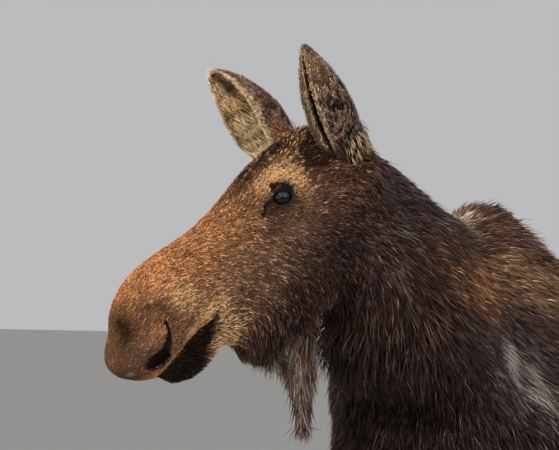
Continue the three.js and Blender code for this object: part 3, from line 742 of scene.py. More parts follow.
class MooseSkinSettings(bpy.types.PropertyGroup):
    """Sizes of the skin."""
    voxel: length_setting("Voxel", "Cell that fuses the solids into one skin", 0.013, 0.008, 0.02)
    body_rounds: count_setting("Body smoothing", "Rounds of smoothing on the trunk and neck", 44, high=120)
    limb_rounds: count_setting("Limb smoothing", "Rounds of smoothing on everything", 9, high=40)
    nostril: length_setting("Nostril depth", "How deep the nostril goes", 0.020, high=0.03)
    lip: length_setting("Lip groove", "Depth of the line between the lips", 0.009, high=0.02)


class MooseCoatSettings(bpy.types.PropertyGroup):
    """Numbers of locks and colours of the coat."""
    face: count_setting("Face locks", "Locks on each side of the head", 32000, 100)
    ears: count_setting("Ear locks", "Locks on both ears", 21000, 100)
    neck: count_setting("Neck locks", "Locks on each side of the neck", 26500, 100)
    trunk: count_setting("Trunk locks", "Locks on the shoulders, and as many behind them", 31500, 100)
    legs: count_setting("Leg locks", "Locks on the four legs", 26000, 100)
    fringes: count_setting("Fringe locks", "Long locks of the bell, jaw, crest and tail", 10000, 100, 16000)
    seed: count_setting("Seed", "Start of the random numbers", 7)


for key, (label, words, code) in COLOURS.items():
    MooseCoatSettings.__annotations__[key] = colour_setting(label, words, code)


class MooseEyeSettings(bpy.types.PropertyGroup):
    """Sizes and colours of the eyes."""
    opening_long: length_setting("Opening length", "From corner to corner", 0.0365, 0.02, 0.040)
    opening_high: length_setting("Opening height", "From lid to lid", 0.0255, 0.01, 0.036)
    iris: colour_setting("Iris", "Smoky brown of the iris", "#121011")
    lid: colour_setting("Lid", "Bare hide of the lids", "#2e2120")


class MooseHoofSettings(bpy.types.PropertyGroup):
    """Shape of the hooves."""
    front_slope: number_setting(
        "Front slope", "How far the front wall leans back over its height", 0.62, 0.2, 1.0)


class MooseStageSettings(bpy.types.PropertyGroup):
    """Camera and light."""
    distance: length_setting("Distance", "Camera from the left eye, level", 6.8816, 2)
    aside: length_setting("Aside", "Camera's axis to the left of the left eye", 0.0051, -1.0)
    below: length_setting("Below", "Camera's axis below the left eye", 0.0566, -1.0)
    azimuth: bpy.props.FloatProperty(
        name="Azimuth", description="Camera's turn round the moose", default=radians(30), subtype="ANGLE")
    lens: number_setting("Lens", "Focal length in millimetres", 219.1, 20, 400)
    key_light: number_setting("Key light", "Power of the large soft lamp", 330)
    fill_light: number_setting("Fill light", "Power of the second lamp", 120)
    top_light: number_setting("Top light", "Power of the lamp above", 110)


def coat_palette():
    """The coat's colours by name, linear."""
    settings = bpy.context.scene.moose_coat
    return {name: np.array(tuple(getattr(settings, name))) for name in COLOURS}


# ---------------------------------------------------------------- skin
SWELL = 0.0008  # more than half of a cut between two solids


def fused(names, extras, voxel):
    """Copies of the solids, merged and each swollen a little so that the thin cuts close, and the extra
    shells, then fused by a voxel remesh. Returns places and four-cornered faces."""
    bm = bmesh.new()
    for points, faces in extras:
        mesh = make_mesh("extra", points, faces)
        bm.from_mesh(mesh)
        bpy.data.meshes.remove(mesh)
    for name in names:
        part = bmesh.new()
        part.from_mesh(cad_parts[name].data)
        bmesh.ops.remove_doubles(part, verts=part.verts, dist=5e-5)
        part.normal_update()
        for vertex in part.verts:
            vertex.co += vertex.normal * SWELL
        mesh = bpy.data.meshes.new("part")
        part.to_mesh(mesh)
        part.free()
        bm.from_mesh(mesh)
        bpy.data.meshes.remove(mesh)
    mesh = bpy.data.meshes.new("fused")
    bm.to_mesh(mesh)
    bm.free()
    holder = bpy.data.objects.new("fused", mesh)
    bpy.context.scene.collection.objects.link(holder)
    fuse = holder.modifiers.new("fuse", "REMESH")
    fuse.mode = "VOXEL"
    fuse.voxel_size = voxel
    fuse.adaptivity = 0
    result = bpy.data.meshes.new_from_object(holder.evaluated_get(bpy.context.evaluated_depsgraph_get()))
    points, faces = read_mesh(result, 4)
    bpy.data.objects.remove(holder)
    bpy.data.meshes.remove(mesh)
    bpy.data.meshes.remove(result)
    return points, faces


def largest_shell(points, faces):
    """Drops every closed shell but the largest, such as a film left inside a cut."""
    label = np.arange(len(points))
    edges = edges_of(faces)
    while True:
        low = label.copy()
        np.minimum.at(low, edges[:, 0], label[edges[:, 1]])
        np.minimum.at(low, edges[:, 1], label[edges[:, 0]])
        low = low[low]
        if (low == label).all():
            break
        label = low
    keep = label == np.bincount(label).argmax()
    renumber = np.cumsum(keep) - 1
    return points[keep], renumber[faces[keep[faces[:, 0]]]]


def divide_twice(points, faces, coarse, fine):
    """Cells halved where `coarse` holds and halved again where `fine` does, then cut into triangles."""
    mesh = make_mesh("dividing", points, faces)
    for part in (coarse, fine):
        places = np.empty(len(mesh.vertices) * 3, np.float32)
        mesh.vertices.foreach_get("co", places)
        chosen = part(places.reshape(-1, 3).astype(float))
        bm = bmesh.new()
        bm.from_mesh(mesh)
        marked = [edge for edge in bm.edges if chosen[edge.verts[0].index] and chosen[edge.verts[1].index]]
        bmesh.ops.subdivide_edges(bm, edges=marked, cuts=1, use_grid_fill=True)
        if part is fine:
            bmesh.ops.triangulate(bm, faces=bm.faces)
        bpy.data.meshes.remove(mesh)
        mesh = bpy.data.meshes.new("divided")
        bm.to_mesh(mesh)
        bm.free()
    surface = read_mesh(mesh, 3)
    bpy.data.meshes.remove(mesh)
    return surface


def bell_share(points):
    """0 on the bell and 1 away from it."""
    return ease(np.linalg.norm((points - middle("bell")) / np.array([0.09, 0.09, 0.17]), axis=1), 0.75, 1.1)


def near_face(points):
    """The muzzle and the surroundings of the eyes, where the skin's folds are finest."""
    a, q, b = mirrored(in_head(points)).T
    muzzle = (a > 0.40) & (a < 0.70) & (b > -0.24)
    eye = ((a - 0.18) ** 2 + (b + 0.045) ** 2 < 0.062 ** 2) & (q > 0.05)
    return (muzzle | eye) & (head_part(points) > 0.9)


def eye_frame(side):
    """Centre of an eye and its own axes: towards the nose along the lids, upwards, and out of the head."""
    centre = middle(f"eye_{side}")
    sign = 1 if side == "left" else -1
    out = unit(LEFT * sign + FORWARD * 0.16 + UP * 0.10)
    ahead = unit(HEADING * cos(radians(14)) - UPRIGHT * sin(radians(14)))
    ahead = unit(ahead - out * (ahead @ out))
    up = np.cross(out, ahead)
    up = up * np.sign(up @ UPRIGHT)
    return centre, ahead, up, out


def nostril_reach(a, b):
    """0 in the middle of the nostril's opening and 1 at its edge, an ellipse that rises to the front."""
    ahead, up = a - NOSTRIL_AT[0], b - NOSTRIL_AT[1]
    run = ahead * cos(NOSTRIL_TILT) + up * sin(NOSTRIL_TILT)
    rise = up * cos(NOSTRIL_TILT) - ahead * sin(NOSTRIL_TILT)
    return np.sqrt((run / NOSTRIL_HALF[0]) ** 2 + (rise / NOSTRIL_HALF[1]) ** 2)


def slit_span(a):
    """Half the width of the nostril's slit, 3 mm at its top and 12 mm at the opening."""
    return 0.0032 + 0.30 * np.clip(a - 0.530, 0, 0.030)


# Ridges and hollows of the head: place in its frame, reach along each axis, height.
HEAD_FORMS = [
    ((0.166, 0.095, -0.010), (0.034, 0.04, 0.011), 0.0045),  # brow over the eye
    ((0.205, 0.095, -0.070), (0.030, 0.04, 0.009), 0.0020),  # rim of bone below the eye
    ((0.235, 0.085, -0.055), (0.022, 0.04, 0.014), -0.0040),  # hollow before the eye
    ((0.120, 0.105, -0.085), (0.075, 0.04, 0.012), 0.0030),  # cheekbone back to the ear
    ((0.095, 0.100, -0.035), (0.040, 0.04, 0.020), -0.0040),  # hollow of the temple
    ((0.330, 0.070, -0.120), (0.090, 0.04, 0.012), 0.0030),  # ridge over the cheek teeth
    ((0.330, 0.070, -0.160), (0.080, 0.04, 0.018), -0.0035),  # hollow under that ridge
    ((0.200, 0.100, -0.190), (0.070, 0.05, 0.055), 0.0040),  # chewing muscle
    ((0.300, 0.080, -0.235), (0.030, 0.05, 0.040), -0.0030),  # hollow before it
    ((0.585, 0.080, -0.074), (0.030, 0.04, 0.010), 0.0030),  # wing over the nostril
    ((0.560, 0.082, -0.064), (0.020, 0.04, 0.019), 0.0060),  # bulge inside the slit
    ((0.602, 0.050, -0.030), (0.022, 0.03, 0.028), -0.0045),  # hollow in front of it
    ((0.462, 0.065, -0.052), (0.028, 0.05, 0.030), 0.0040),  # pad behind the nostril
    ((0.443, 0.0, -0.224), (0.019, 0.08, 0.021), -0.0165),  # notch between chin and jaw
    ((0.540, 0.080, -0.098), (0.012, 0.04, 0.018), 0.0040),  # back edge of the nostril
    ((0.500, 0.075, -0.070), (0.020, 0.04, 0.040), -0.0035),  # hollow behind it
    ((0.425, 0.065, -0.105), (0.016, 0.04, 0.016), 0.0040),  # fold at the mouth's corner
    ((0.448, 0.065, -0.110), (0.007, 0.04, 0.014), -0.0030),  # dent before that fold
    ((0.590, 0.060, -0.125), (0.060, 0.05, 0.010), 0.0035),  # hanging edge of the upper lip
]


NEAR_EYE = 0.06  # beyond this nothing belongs to an eye
BEHIND_BALL = 0.002  # how far out of an eye's centre the skin lies behind the ball
UNDER_LIDS = 0.0085  # and round it


def fold_head(points, normals, settings):
    """The skin's own forms on the head, as pushes that fade with distance: ridges and hollows along the
    normal, nostril and slit inwards, the groove between the lips, the tear slit, and the bed of each eye.
    Returns places, and how bare of hair each is."""
    places = in_head(points)
    folded = mirrored(places)
    a, q, b = folded.T
    side = np.where(places[:, 1] < 0, -1.0, 1.0)
    flat = folded[:, [0, 2]]
    outer = ease(q, 0.020, 0.045)
    head = head_part(points)

    along = sum(size * bell_shape(folded, at, reach) for at, reach, size in HEAD_FORMS)
    along -= 0.0030 * np.exp(-(from_line(flat, NOSE_ARC) / 0.008) ** 2) * outer  # arc over the nostril
    along -= 0.0030 * np.exp(-(from_line(flat, LIP_CREASE) / 0.005) ** 2) * outer  # crease above the lip
    points = points + normals * (along * head)[:, None]

    inward = -side[:, None] * LEFT * 0.86 - FORWARD * 0.40 + UP * 0.25
    within = nostril_reach(a, b)
    hole = np.clip(1 - within ** 2.2, 0, 1) ** 0.6
    slit = np.exp(-(from_line(flat, NOSTRIL_SLIT) / slit_span(a)) ** 4)
    depth = np.maximum(settings.nostril * hole, 0.0095 * slit) * outer
    points = points + inward * (depth * head)[:, None]

    lip = np.exp(-(from_line(flat, LIP_LINE) / 0.0050) ** 2) * ease(a, 0.412, 0.428)
    centre = from_head(np.stack([np.minimum(a, 0.57), 0 * a, np.full_like(a, -0.138)], axis=1))
    points = points + unit(centre - points) * (lip * settings.lip * head)[:, None]

    below = np.interp(a, LIP_LINE[:, 0], LIP_LINE[:, 1]) - b
    under = ease(below, -0.002, 0.010) * ease(below, 0.060, 0.030)
    under = under * ease(a, 0.425, 0.450) * ease(a, 0.640, 0.600)
    points = points - side[:, None] * LEFT * (under * ease(q, 0.02, 0.045) * 0.0065 * head)[:, None]

    tear = np.exp(-(from_line(flat, TEAR_SLIT) / (0.0050 - 0.04 * np.clip(a - 0.19, 0, 0.04))) ** 2) * outer
    points = points - side[:, None] * LEFT * (tear * 0.0050 * head)[:, None]

    for name in ("left", "right"):
        centre, ahead, up, out = eye_frame(name)
        away = points - centre
        x, y, z = away @ ahead, away @ up, away @ out
        round_eye = np.sqrt((x / 1.12) ** 2 + y ** 2)
        near = (z > -0.01) * (np.linalg.norm(away, axis=1) < NEAR_EYE)
        bed = (1 - ease(round_eye, 0.0215, 0.034)) * near
        target = np.where(round_eye < 0.0175, BEHIND_BALL, UNDER_LIDS)
        points = points + out * ((target - z) * bed)[:, None]
    bare = np.maximum.reduce([
        ease(1.25 - within, 0, 0.25) * outer, slit * outer, lip * ease(q, 0, 0.02), tear,
        np.exp(-(((a - 0.628) / 0.012) ** 2 + ((b + 0.118) / 0.012) ** 2)) * ease(0.05 - q, 0, 0.02)]) * head
    return points, np.clip(bare, 0, 1)


def ear_axes(name):
    """Along an ear, the way its hollow faces, and across both, in the frame of heading, left and upright."""
    along = unit(np.array(EAR_PLACES[name][1], float))
    facing = np.array(EAR_PLACES[name][2], float)
    facing = unit(facing - along * (facing @ along))
    return along, facing, np.cross(facing, along)


def upright_frame(local):
    """Ways in the frame of heading, left and upright turned to the model's frame."""
    return local[..., :1] * HEADING + local[..., 1:2] * LEFT + local[..., 2:] * UPRIGHT


def ear_surface(name):
    """One ear: along its length and round a loop whose first half is the outer wall, from one rim to the
    other, and whose second half is the inner wall back. Radius, wrap and wall come from the ear's table.
    Returns places, triangles, share along, place round from -1 to 1, and 1 on the inner wall."""
    base, bent, table = (EAR_PLACES[name][i] for i in (0, 3, 4))
    along, facing, across = ear_axes(name)
    rows, sides = 44, 72
    share = np.linspace(0, 1, rows)[:, None] ** 0.92
    u = np.arange(sides)[None] / sides
    s = np.where(u < 0.5, 4 * u - 1, 3 - 4 * u)
    inner = (u >= 0.5).astype(float)
    radius, wrap, wall = (np.interp(share, table[:, 0], table[:, i]) for i in (1, 2, 3))
    thick = np.minimum(wall, radius - 0.002) * (1 - 0.5 * s ** 4)
    fur = np.minimum(0.0022, thick * 0.36)
    ripple = 0.0010 * np.sin(s * 9 + share * 5) * inner * (1 - np.abs(s))
    r = np.where(inner > 0, radius - thick + fur, radius - fur) + ripple
    bend = s * np.radians(wrap) * 0.985
    local = (share[..., None] * EAR_LENGTH * 0.99 * along + (share ** 2)[..., None] * np.array(bent)
             + (r * np.sin(bend))[..., None] * across - (r * np.cos(bend))[..., None] * facing
             + np.array(base))
    points, faces = closed_tube(POLL + upright_frame(local))
    flat = [np.broadcast_to(value, (rows, sides)).ravel() for value in (share, s, inner)]
    flat = [np.concatenate([value, [value[:sides].mean(), value[-sides:].mean()]]) for value in flat]
    return points, faces, *flat


def ear_colours(name, share, s, inner, points, palette):
    """Markings of an ear. Back: black and tan mottled in spots of 4 mm, tan towards the tip and on the
    front flap of the folded ear. Hollow: buff, with painted shade near the tip behind the upper rim, where
    the hollow is deepest, two dark bands lower down and a brown lower rim; the folded ear's hollow is all
    painted dark brown, as shade inside the fold. Both rims are buff."""
    c = palette
    grizzle = ease(noise(points, 0.0042, 21) + 0.5 * noise(points, 0.010, 22), -0.15, 0.20)
    back = over(np.broadcast_to(c["soot"], points.shape), c["ash"] * 0.56 + c["tan"] * 0.48, grizzle * 0.80)
    back = over(back, c["ash"] * 0.32 + c["tan"] * 0.52, ease(share, 0.50, 0.85) * (0.35 + 0.45 * grizzle))
    back = over(back, c["seal_brown"], ease(share, 0.30, 0.16) * ease(np.abs(s), 0.40, 0.62) * 0.9)
    middle_gold = np.exp(-(((share - 0.66) / 0.12) ** 2)) * 0.6
    hollow = over(np.broadcast_to(c["buff"], points.shape), c["gold"], middle_gold)
    if name == "ear_left":
        flap = ease(s, 0.42, 0.60) * ease(share, 0.12, 0.26)
        back = over(back, c["buff"] * 0.26 + c["umber"] * 0.40, flap * (0.65 + 0.25 * grizzle))
        # painted shade: the inside of the folded ear, where little light reaches, all dark brown
        hollow = over(hollow, c["umber"] * 0.50, np.full(len(points), 0.97))
        rim = ease(np.abs(s), 0.925, 0.97) * ease(share, 0.16, 0.25) * (1 - inner)
    else:
        # painted shade in the deep hollow just inside the upper rim, near the tip
        patch = np.exp(-(((share - 0.79) / 0.14) ** 2 + ((s - 0.34) / 0.17) ** 2) ** 2)
        hollow = over(hollow, c["soot"], 0.80 * patch)
        for at, slant, wide in ((0.48, 0.16, 0.030), (0.26, 0.12, 0.028)):
            band = np.exp(-(((share - at - slant * s) / wide) ** 2)) * ease(s, -0.6, -0.2)
            hollow = over(hollow, c["soot"], 0.85 * band)
        lower_rim = ease(s, 0.80, 0.90) * ease(share, 0.84, 0.72) * ease(share, 0.22, 0.36)
        hollow = over(hollow, c["umber"], 0.8 * lower_rim)
        hollow = over(hollow, c["soot"], 0.7 * ease(s, 0.2, -0.2) * ease(share, 0.95, 0.85))
        back = over(back, c["umber"] * 0.7, np.full(len(points), 0.45))
        back = over(back, c["tan"], ease(share, 0.34, 0.14) * ease(s, -0.40, -0.75) * 0.8)
        lower = ease(s, 0.88, 0.96) * np.maximum(ease(share, 0.66, 0.78), 0.25)
        rim = np.maximum(ease(-s, 0.86, 0.93), lower)
    colour = back * (1 - inner[:, None]) + hollow * inner[:, None]
    return over(colour, c["buff"] * 0.88, rim * 0.88)


def ear_root(name):
    """The fleshy root of an ear as a closed tube along the ear's axis: its radius is that of the leaf's
    foot inside the head, a little fuller behind, and closes in a dome inside the hollow."""
    along, facing, across = ear_axes(name)
    share = np.array([-0.24, -0.12, 0.0, 0.06, 0.12, 0.17, 0.19])[:, None]
    radius = np.array([0.044, 0.046, 0.0475, 0.047, 0.041, 0.028, 0.010])[:, None]
    turn = np.arange(24)[None] / 24 * 2 * pi
    local = ((share * EAR_LENGTH)[..., None] * along + (radius * np.sin(turn))[..., None] * across
             + (radius * np.cos(turn) - 0.003)[..., None] * facing + np.array(EAR_PLACES[name][0]))
    return closed_tube(POLL + upright_frame(local))


class MOOSE_OT_skin(bpy.types.Operator):
    """Fuses the flesh into one skin below the tips of the coat, with the head's folds, nostrils and ears"""
    bl_idname = "moose.skin"
    bl_label = "Skin"

    def execute(self, context):
        settings = context.scene.moose_skin
        palette = coat_palette()
        points, faces = fused(FLESH + EYES, [ear_root(name) for name in EARS], settings.voxel)
        points, faces = largest_shell(points, faces)
        edges = edges_of(faces)
        body = (1 - head_part(points)) * (1 - 0.75 * leg_part(points)) * (0.2 + 0.8 * bell_share(points))
        sole = ease(points[:, 2], 0.07, 0.10)
        points = smoothed(points, edges, body * sole, settings.body_rounds)
        points = smoothed(points, edges, sole, settings.limb_rounds)
        points, faces = divide_twice(
            points, faces, lambda p: (head_part(p) > 0.3) | (p[:, 2] < 0.40), near_face)
        edges = edges_of(faces)
        fine = np.maximum(ease(head_part(points), 0.3, 0.6), ease(points[:, 2], 0.42, 0.36))
        points = smoothed(points, edges, fine * ease(points[:, 2], 0.07, 0.10), 5)
        normals = point_normals(points, faces)
        points = points - normals * coat_depth(points)[:, None]
        behind = np.array([0.866, 0.5, 0.0])
        pulled = 0.013 * np.clip(normals @ behind, 0, 1) * (1 - bell_share(points))
        points = points - behind * pulled[:, None]
        points, bare = fold_head(points, point_normals(points, faces), settings)
        colours = over(markings(points, palette), palette["soot"] * 0.75, bare)
        parts = [(points, faces, colours, bare)]
        count = len(points)
        for name in EARS:
            ear, ear_faces, share, s, inner = ear_surface(name)
            tone = ear_colours(name, share, s, inner, ear, palette) * 0.8
            parts.append((ear, ear_faces + count, tone, np.zeros(len(ear))))
            count += len(ear)
        points, faces, colours, bare = (np.concatenate(column) for column in zip(*parts))
        mesh = make_mesh("skin", points, faces)
        colour_points(mesh, "coat", colours, 1.0)
        value_points(mesh, "bare", bare)
        place("skin", mesh, hide_material(), FLESH + EARS)
        print("skin:", len(mesh.vertices), "points,", len(mesh.polygons), "triangles")
        return {"FINISHED"}


# ---------------------------------------------------------------- coat
def spindle_faces(rings):
    """Triangles of a closed lock: root, rings of left edge, right edge and ridge, and tip."""
    tip = 3 * rings + 1
    faces = [(0, 3, 1), (0, 2, 3), (0, 1, 2)]
    for ring in range(rings - 1):
        a, b, c = 3 * ring + 1, 3 * ring + 2, 3 * ring + 3
        a2, b2, c2 = a + 3, b + 3, c + 3
        faces += [(a, c2, a2), (a, c, c2), (b, b2, c2), (b, c2, c), (a, a2, b2), (a, b2, b)]
    a, b, c = tip - 3, tip - 2, tip - 1
    return np.array(faces + [(tip, a, c), (tip, c, b), (tip, b, a)])


def roots_on(points, faces, weight, count, rng):
    """Roots spread over the triangles by area times weight: the running total is cut into equal steps,
    each with one root at a random place in its step and in its triangle. Returns triangles and shares."""
    area = np.linalg.norm(triangle_normals(points, faces), axis=1) / 2
    total = np.cumsum(area * weight[faces].mean(axis=1))
    cuts = (np.arange(count) + rng.random(count)) / count * total[-1]
    chosen = np.minimum(np.searchsorted(total, cuts), len(faces) - 1)
    first, second = rng.random(count), rng.random(count)
    beyond = first + second > 1
    first[beyond], second[beyond] = 1 - first[beyond], 1 - second[beyond]
    return chosen, np.stack([1 - first - second, first, second], axis=1)


def spread(values, faces, chosen, corners):
    """Values at the points carried to the roots by their corner shares."""
    return np.einsum("ij,ij...->i...", corners, values[faces[chosen]])


def rooted(points, faces, weight, count, rng, *values):
    """Roots by weight, the normals at them, and each of the values carried to them."""
    chosen, corners = roots_on(points, faces, weight, count, rng)
    fields = (points, point_normals(points, faces), *values)
    carried = [spread(field, faces, chosen, corners) for field in fields]
    return carried[0], unit(carried[1]), *carried[2:]


def cylinder_unwrap(places, origin, axis, up, length):
    """A wrap round an axis laid flat: how far along it, and the angle round it, both from 0 to 1."""
    axis = unit(np.array(axis, float))
    up = np.array(up, float)
    up = unit(up - axis * (up @ axis))
    away = places - origin
    along = (away @ axis) / length
    turn = np.arctan2(away @ np.cross(axis, up), away @ up) / (2 * pi) + 0.5
    return np.stack([np.clip(along, 0.002, 0.998), np.clip(turn, 0.002, 0.998)], axis=1)


SHORTEST, LONGEST = 0.72, 1.18  # a lock's length, as a share of the table's
SUNK = 0.0015  # how deep a lock roots under the skin
PATCH = 0.0015  # half the size of a lock's patch on its unwrap
DROOP = 0.35  # how far a lock's middle rises above its straight line, as a share of the lift
RING_WIDTHS = (1.0, 0.72)  # of a lock's rings, as a share of its width
DARK, BRIGHT = 0.45, 1.35  # tones of the odd locks
TONE_POWERS = np.array([1.0, 1.20, 1.03])  # so bright hair leans to gold and dark hair to red brown
BRIGHTEST = 0.62  # no hair reflects more


def grow(name, roots, normals, ways, lengths, widths, lifts, colours, flat, rng, rings=1, stray=0.10,
         spread_tone=0.30, odd=0.16):
    """Closed locks as one mesh. Each is a spindle from its sunken root to its tip: way times length times
    cos(lift) plus normal times length times sin(lift), with a middle raised as it leaves the skin and a tip
    that droops, three places round each ring and a ridge along the top. Some locks are dark and some
    bright; bright hair leans to gold and dark hair to red brown."""
    count = len(roots)
    side = unit(np.cross(normals, ways))
    ways = unit(np.cross(side, normals))
    ways = unit(ways + side * rng.normal(0, stray, count)[:, None])
    side = unit(np.cross(normals, ways))
    lengths = lengths * rng.uniform(SHORTEST, LONGEST, count)
    widths = widths * rng.uniform(0.75, 1.25, count)
    lifts = lifts * rng.uniform(0.5, 1.5, count)
    curl = rng.normal(0, 0.07, count)[:, None]
    layers = [(roots - normals * SUNK)[:, None]]
    for ring in range(1, rings + 1):
        t = ring / (rings + 1)
        rise = np.sin(lifts) * (t + DROOP * t * (1 - t) * 2)
        at = (roots + ways * (lengths * t * np.cos(lifts))[:, None] + normals * (lengths * rise)[:, None]
              + side * curl * (lengths * t * t)[:, None])
        wide = widths * RING_WIDTHS[ring - 1]
        layers.append(np.stack([
            at + side * (wide / 2)[:, None], at - side * (wide / 2)[:, None],
            at + normals * (wide * 0.30)[:, None]], axis=1))
    tips = (roots + ways * (lengths * np.cos(lifts))[:, None] + normals * (lengths * np.sin(lifts))[:, None]
            + side * curl * lengths[:, None])
    points = np.concatenate(layers + [tips[:, None]], axis=1)
    per = points.shape[1]
    pattern = spindle_faces(rings)
    faces = (pattern[None] + (np.arange(count) * per)[:, None, None]).reshape(-1, 3)
    mesh = make_mesh(name, points.reshape(-1, 3), faces)
    kind = rng.random(count)
    cast = np.exp(rng.normal(0, spread_tone, count))
    cast = cast * np.where(kind < odd, DARK, np.where(kind > 1 - 0.6 * odd, BRIGHT, 1.0))
    tone = colours * cast[:, None] ** TONE_POWERS
    tone = tone / np.maximum(tone.max(axis=1, keepdims=True) / BRIGHTEST, 1)
    along = np.concatenate([[0.0], np.repeat(np.arange(1, rings + 1) / (rings + 1), 3), [1.0]])
    colour_points(mesh, "coat", np.repeat(tone, per, axis=0), np.tile(along, count))
    patch = [(0.0, -PATCH)]
    for ring in range(rings):
        patch += [(x, -0.0005 + 0.001 * ring) for x in (-PATCH, PATCH, 0.0)]
    patch = np.array(patch + [(0.0, PATCH)])
    layer = mesh.uv_layers.new(name="OFBake")
    corner = (flat[:, None, None, :] + patch[pattern][None]).reshape(-1, 2)
    layer.data.foreach_set("uv", np.ascontiguousarray(corner, dtype=np.float32).ravel())
    return mesh


def skin_surface():
    """Skin without its ears, which have their own locks."""
    points, faces = read_mesh(bpy.data.objects["skin"].data, 3)
    count = len(points) - sum(len(ear_surface(name)[0]) for name in EARS)
    return points[:count], faces[(faces < count).all(axis=1)]


LID_BORDER = (0.0158, 0.0172)  # where hair begins round an eye


def keep_off(points):
    """0 where no lock roots: on eyes and lids, in the nostrils, between the lips, at the hooves' edge."""
    a, q, b = mirrored(in_head(points)).T
    flat = np.stack([a, b], axis=1)
    clear = np.ones(len(points))
    for name in ("left", "right"):
        centre, ahead, up, _ = eye_frame(name)
        away = points - centre
        ring = np.sqrt((away @ ahead / 1.25) ** 2 + (away @ up) ** 2)
        clear *= np.where(np.linalg.norm(away, axis=1) < NEAR_EYE, ease(ring, *LID_BORDER), 1)
    for where, distance, low, high in (
            (q > 0.03, nostril_reach(a, b), 0.92, 1.08),
            (q > 0.03, from_line(flat, NOSTRIL_SLIT) / slit_span(a), 0.7, 1.1),
            (a > 0.43, from_line(flat, LIP_LINE), 0.002, 0.005),
            (q > 0.04, from_line(flat, TEAR_SLIT), 0.0028, 0.0045),
            (q > 0.04, from_line(flat - [0.003, 0.004], TEAR_SLIT), 0.0030, 0.0050)):
        clear *= np.where(where, ease(distance, low, high), 1)
    clear = np.where(head_part(points) > 0.5, clear, 1)
    return clear * ease(points[:, 2], 0.060, 0.066)


def always(value):
    """A function of places that gives the same number everywhere."""
    return lambda points: np.full(len(points), value)


def coat_piece(name, material, part, count, width, flatten, rng, density=always(1.0), longer=1.0,
               strands=0.85, spread_tone=0.30):
    """Locks over the part of the skin where `part` holds: lie, length and lift from the tables, colour from
    the markings at each root moved by a few millimetres, so that edges between marks are feathered. Streaks
    along the hair vary tone and lift, worn places have long bleached locks, and the crown is grizzled."""
    points, faces = skin_surface()
    weight = part(points) * keep_off(points) * density(points)
    roots, normals = rooted(points, faces, weight, count, rng)
    ways, lengths, lifts = lie(roots)
    ruffle = 0.16 * noise(roots, 0.05, 31) + 0.12 * noise(roots, 0.018, 32)
    ways = unit(ways + np.cross(normals, ways) * ruffle[:, None])
    lifts = lifts * (1 + 0.35 * noise(roots, 0.03, 33))
    palette = coat_palette()
    head = head_part(roots)
    feather = 0.005 - 0.0025 * head[:, None]
    colours = markings(roots + rng.normal(0, 1, roots.shape) * feather, palette)
    wide = width(roots)
    clumps = streaks(roots, ways, wide.mean() * 1.35, 34)
    broad = streaks(roots, ways, wide.mean() * 4.5, 35)
    colours = colours * np.exp(strands * clumps + 0.30 * broad)[:, None]
    lifts = lifts * np.clip(1 + 0.6 * clumps, 0.3, 2)
    worn = worn_share(roots)
    bleached = rng.random(count) < worn * (1 - head) * np.clip(0.9 + 3.2 * broad, 0.02, 4)
    colours = np.where(bleached[:, None], palette["ash"] * (0.45 + 3.4 * worn[:, None]), colours)
    a, _, b = mirrored(in_head(roots)).T
    grizzled = np.exp(-(((a - 0.05) / 0.16) ** 2 + (b / 0.08) ** 2)) * ease(a, 0.27, 0.20)
    pepper = 1.5 * streaks(roots, ways, 0.0045, 36) + rng.choice([-0.7, -0.1, 0.6], count)
    colours = colours * np.exp(grizzled * pepper)[:, None]
    lengths = lengths * np.where(bleached, 1.8, 1.0) * longer
    wide = wide * np.where(bleached, 0.6, 1.0)
    mesh = grow(name, roots, normals, ways, lengths, wide, lifts, colours, flatten(roots), rng,
                spread_tone=spread_tone)
    place(name, mesh, material)


CHEST = np.array([MIDLINE, -0.25, 1.40])  # where the neck's middle line starts
POLL_END = from_head([-0.05, 0, -0.12])  # and where it ends
BELLY = 0.93  # height where the legs' coat ends
SHOULDERS_END = 0.26  # how far back the shoulders' coat goes


def on_side(points, sign):
    """1 on one side of the head's and neck's middle plane."""
    run = POLL_END - CHEST
    share = np.clip(((points - CHEST) @ run) / (run @ run), 0, 1)
    from_axis = points[:, 0] - CHEST[0] - share * run[0]
    across = np.where(head_part(points) > 0.5, in_head(points)[:, 1], from_axis)
    return (across * sign > 0).astype(float)


def on_head(points):
    """1 on the head."""
    return (head_part(points) > 0.5).astype(float)


def on_neck(points):
    """1 on the neck: behind the cheek's line, ahead of the shoulders."""
    ahead = (points - CHEST) @ unit(POLL_END - CHEST)
    return (1 - on_head(points)) * (ahead > 0) * (points[:, 1] < -0.15)


def on_trunk(points):
    """1 on the trunk, tail and upper legs."""
    return (1 - on_head(points)) * (1 - on_neck(points)) * (points[:, 2] > BELLY)


def on_legs(points):
    """1 on the legs below the belly."""
    return (1 - on_head(points)) * (points[:, 2] <= BELLY)


def flat_head(points):
    """The head unwrapped round its long axis."""
    return cylinder_unwrap(points, from_head([-0.09, 0, -0.11]), FORWARD, UP, 0.77)


def flat_face(points):
    """Half of that unwrap, one side to each piece."""
    along, turn = flat_head(points).T
    return np.stack([along, np.clip(np.abs(turn - 0.5) * 2, 0.002, 0.998)], axis=1)


def flat_neck(points):
    """The neck unwrapped round its middle line."""
    low = np.array([MIDLINE, -0.25, 1.20])
    run = from_head([0.0, 0, -0.12]) - low
    return cylinder_unwrap(points, low, run, (1, 0, 0), np.linalg.norm(run) * 1.3)


def flat_trunk(points):
    """The trunk unwrapped round its middle line from chest to rump."""
    return cylinder_unwrap(points, np.array([MIDLINE, -0.52, 1.35]), (0, 1, 0), (0, 0, -1), 1.66)


FORELEGS_AT, HINDLEGS_AT = -0.14, 0.92  # how far back the legs' middle lines stand
LEGS_APART = 0.15  # and how far to each side


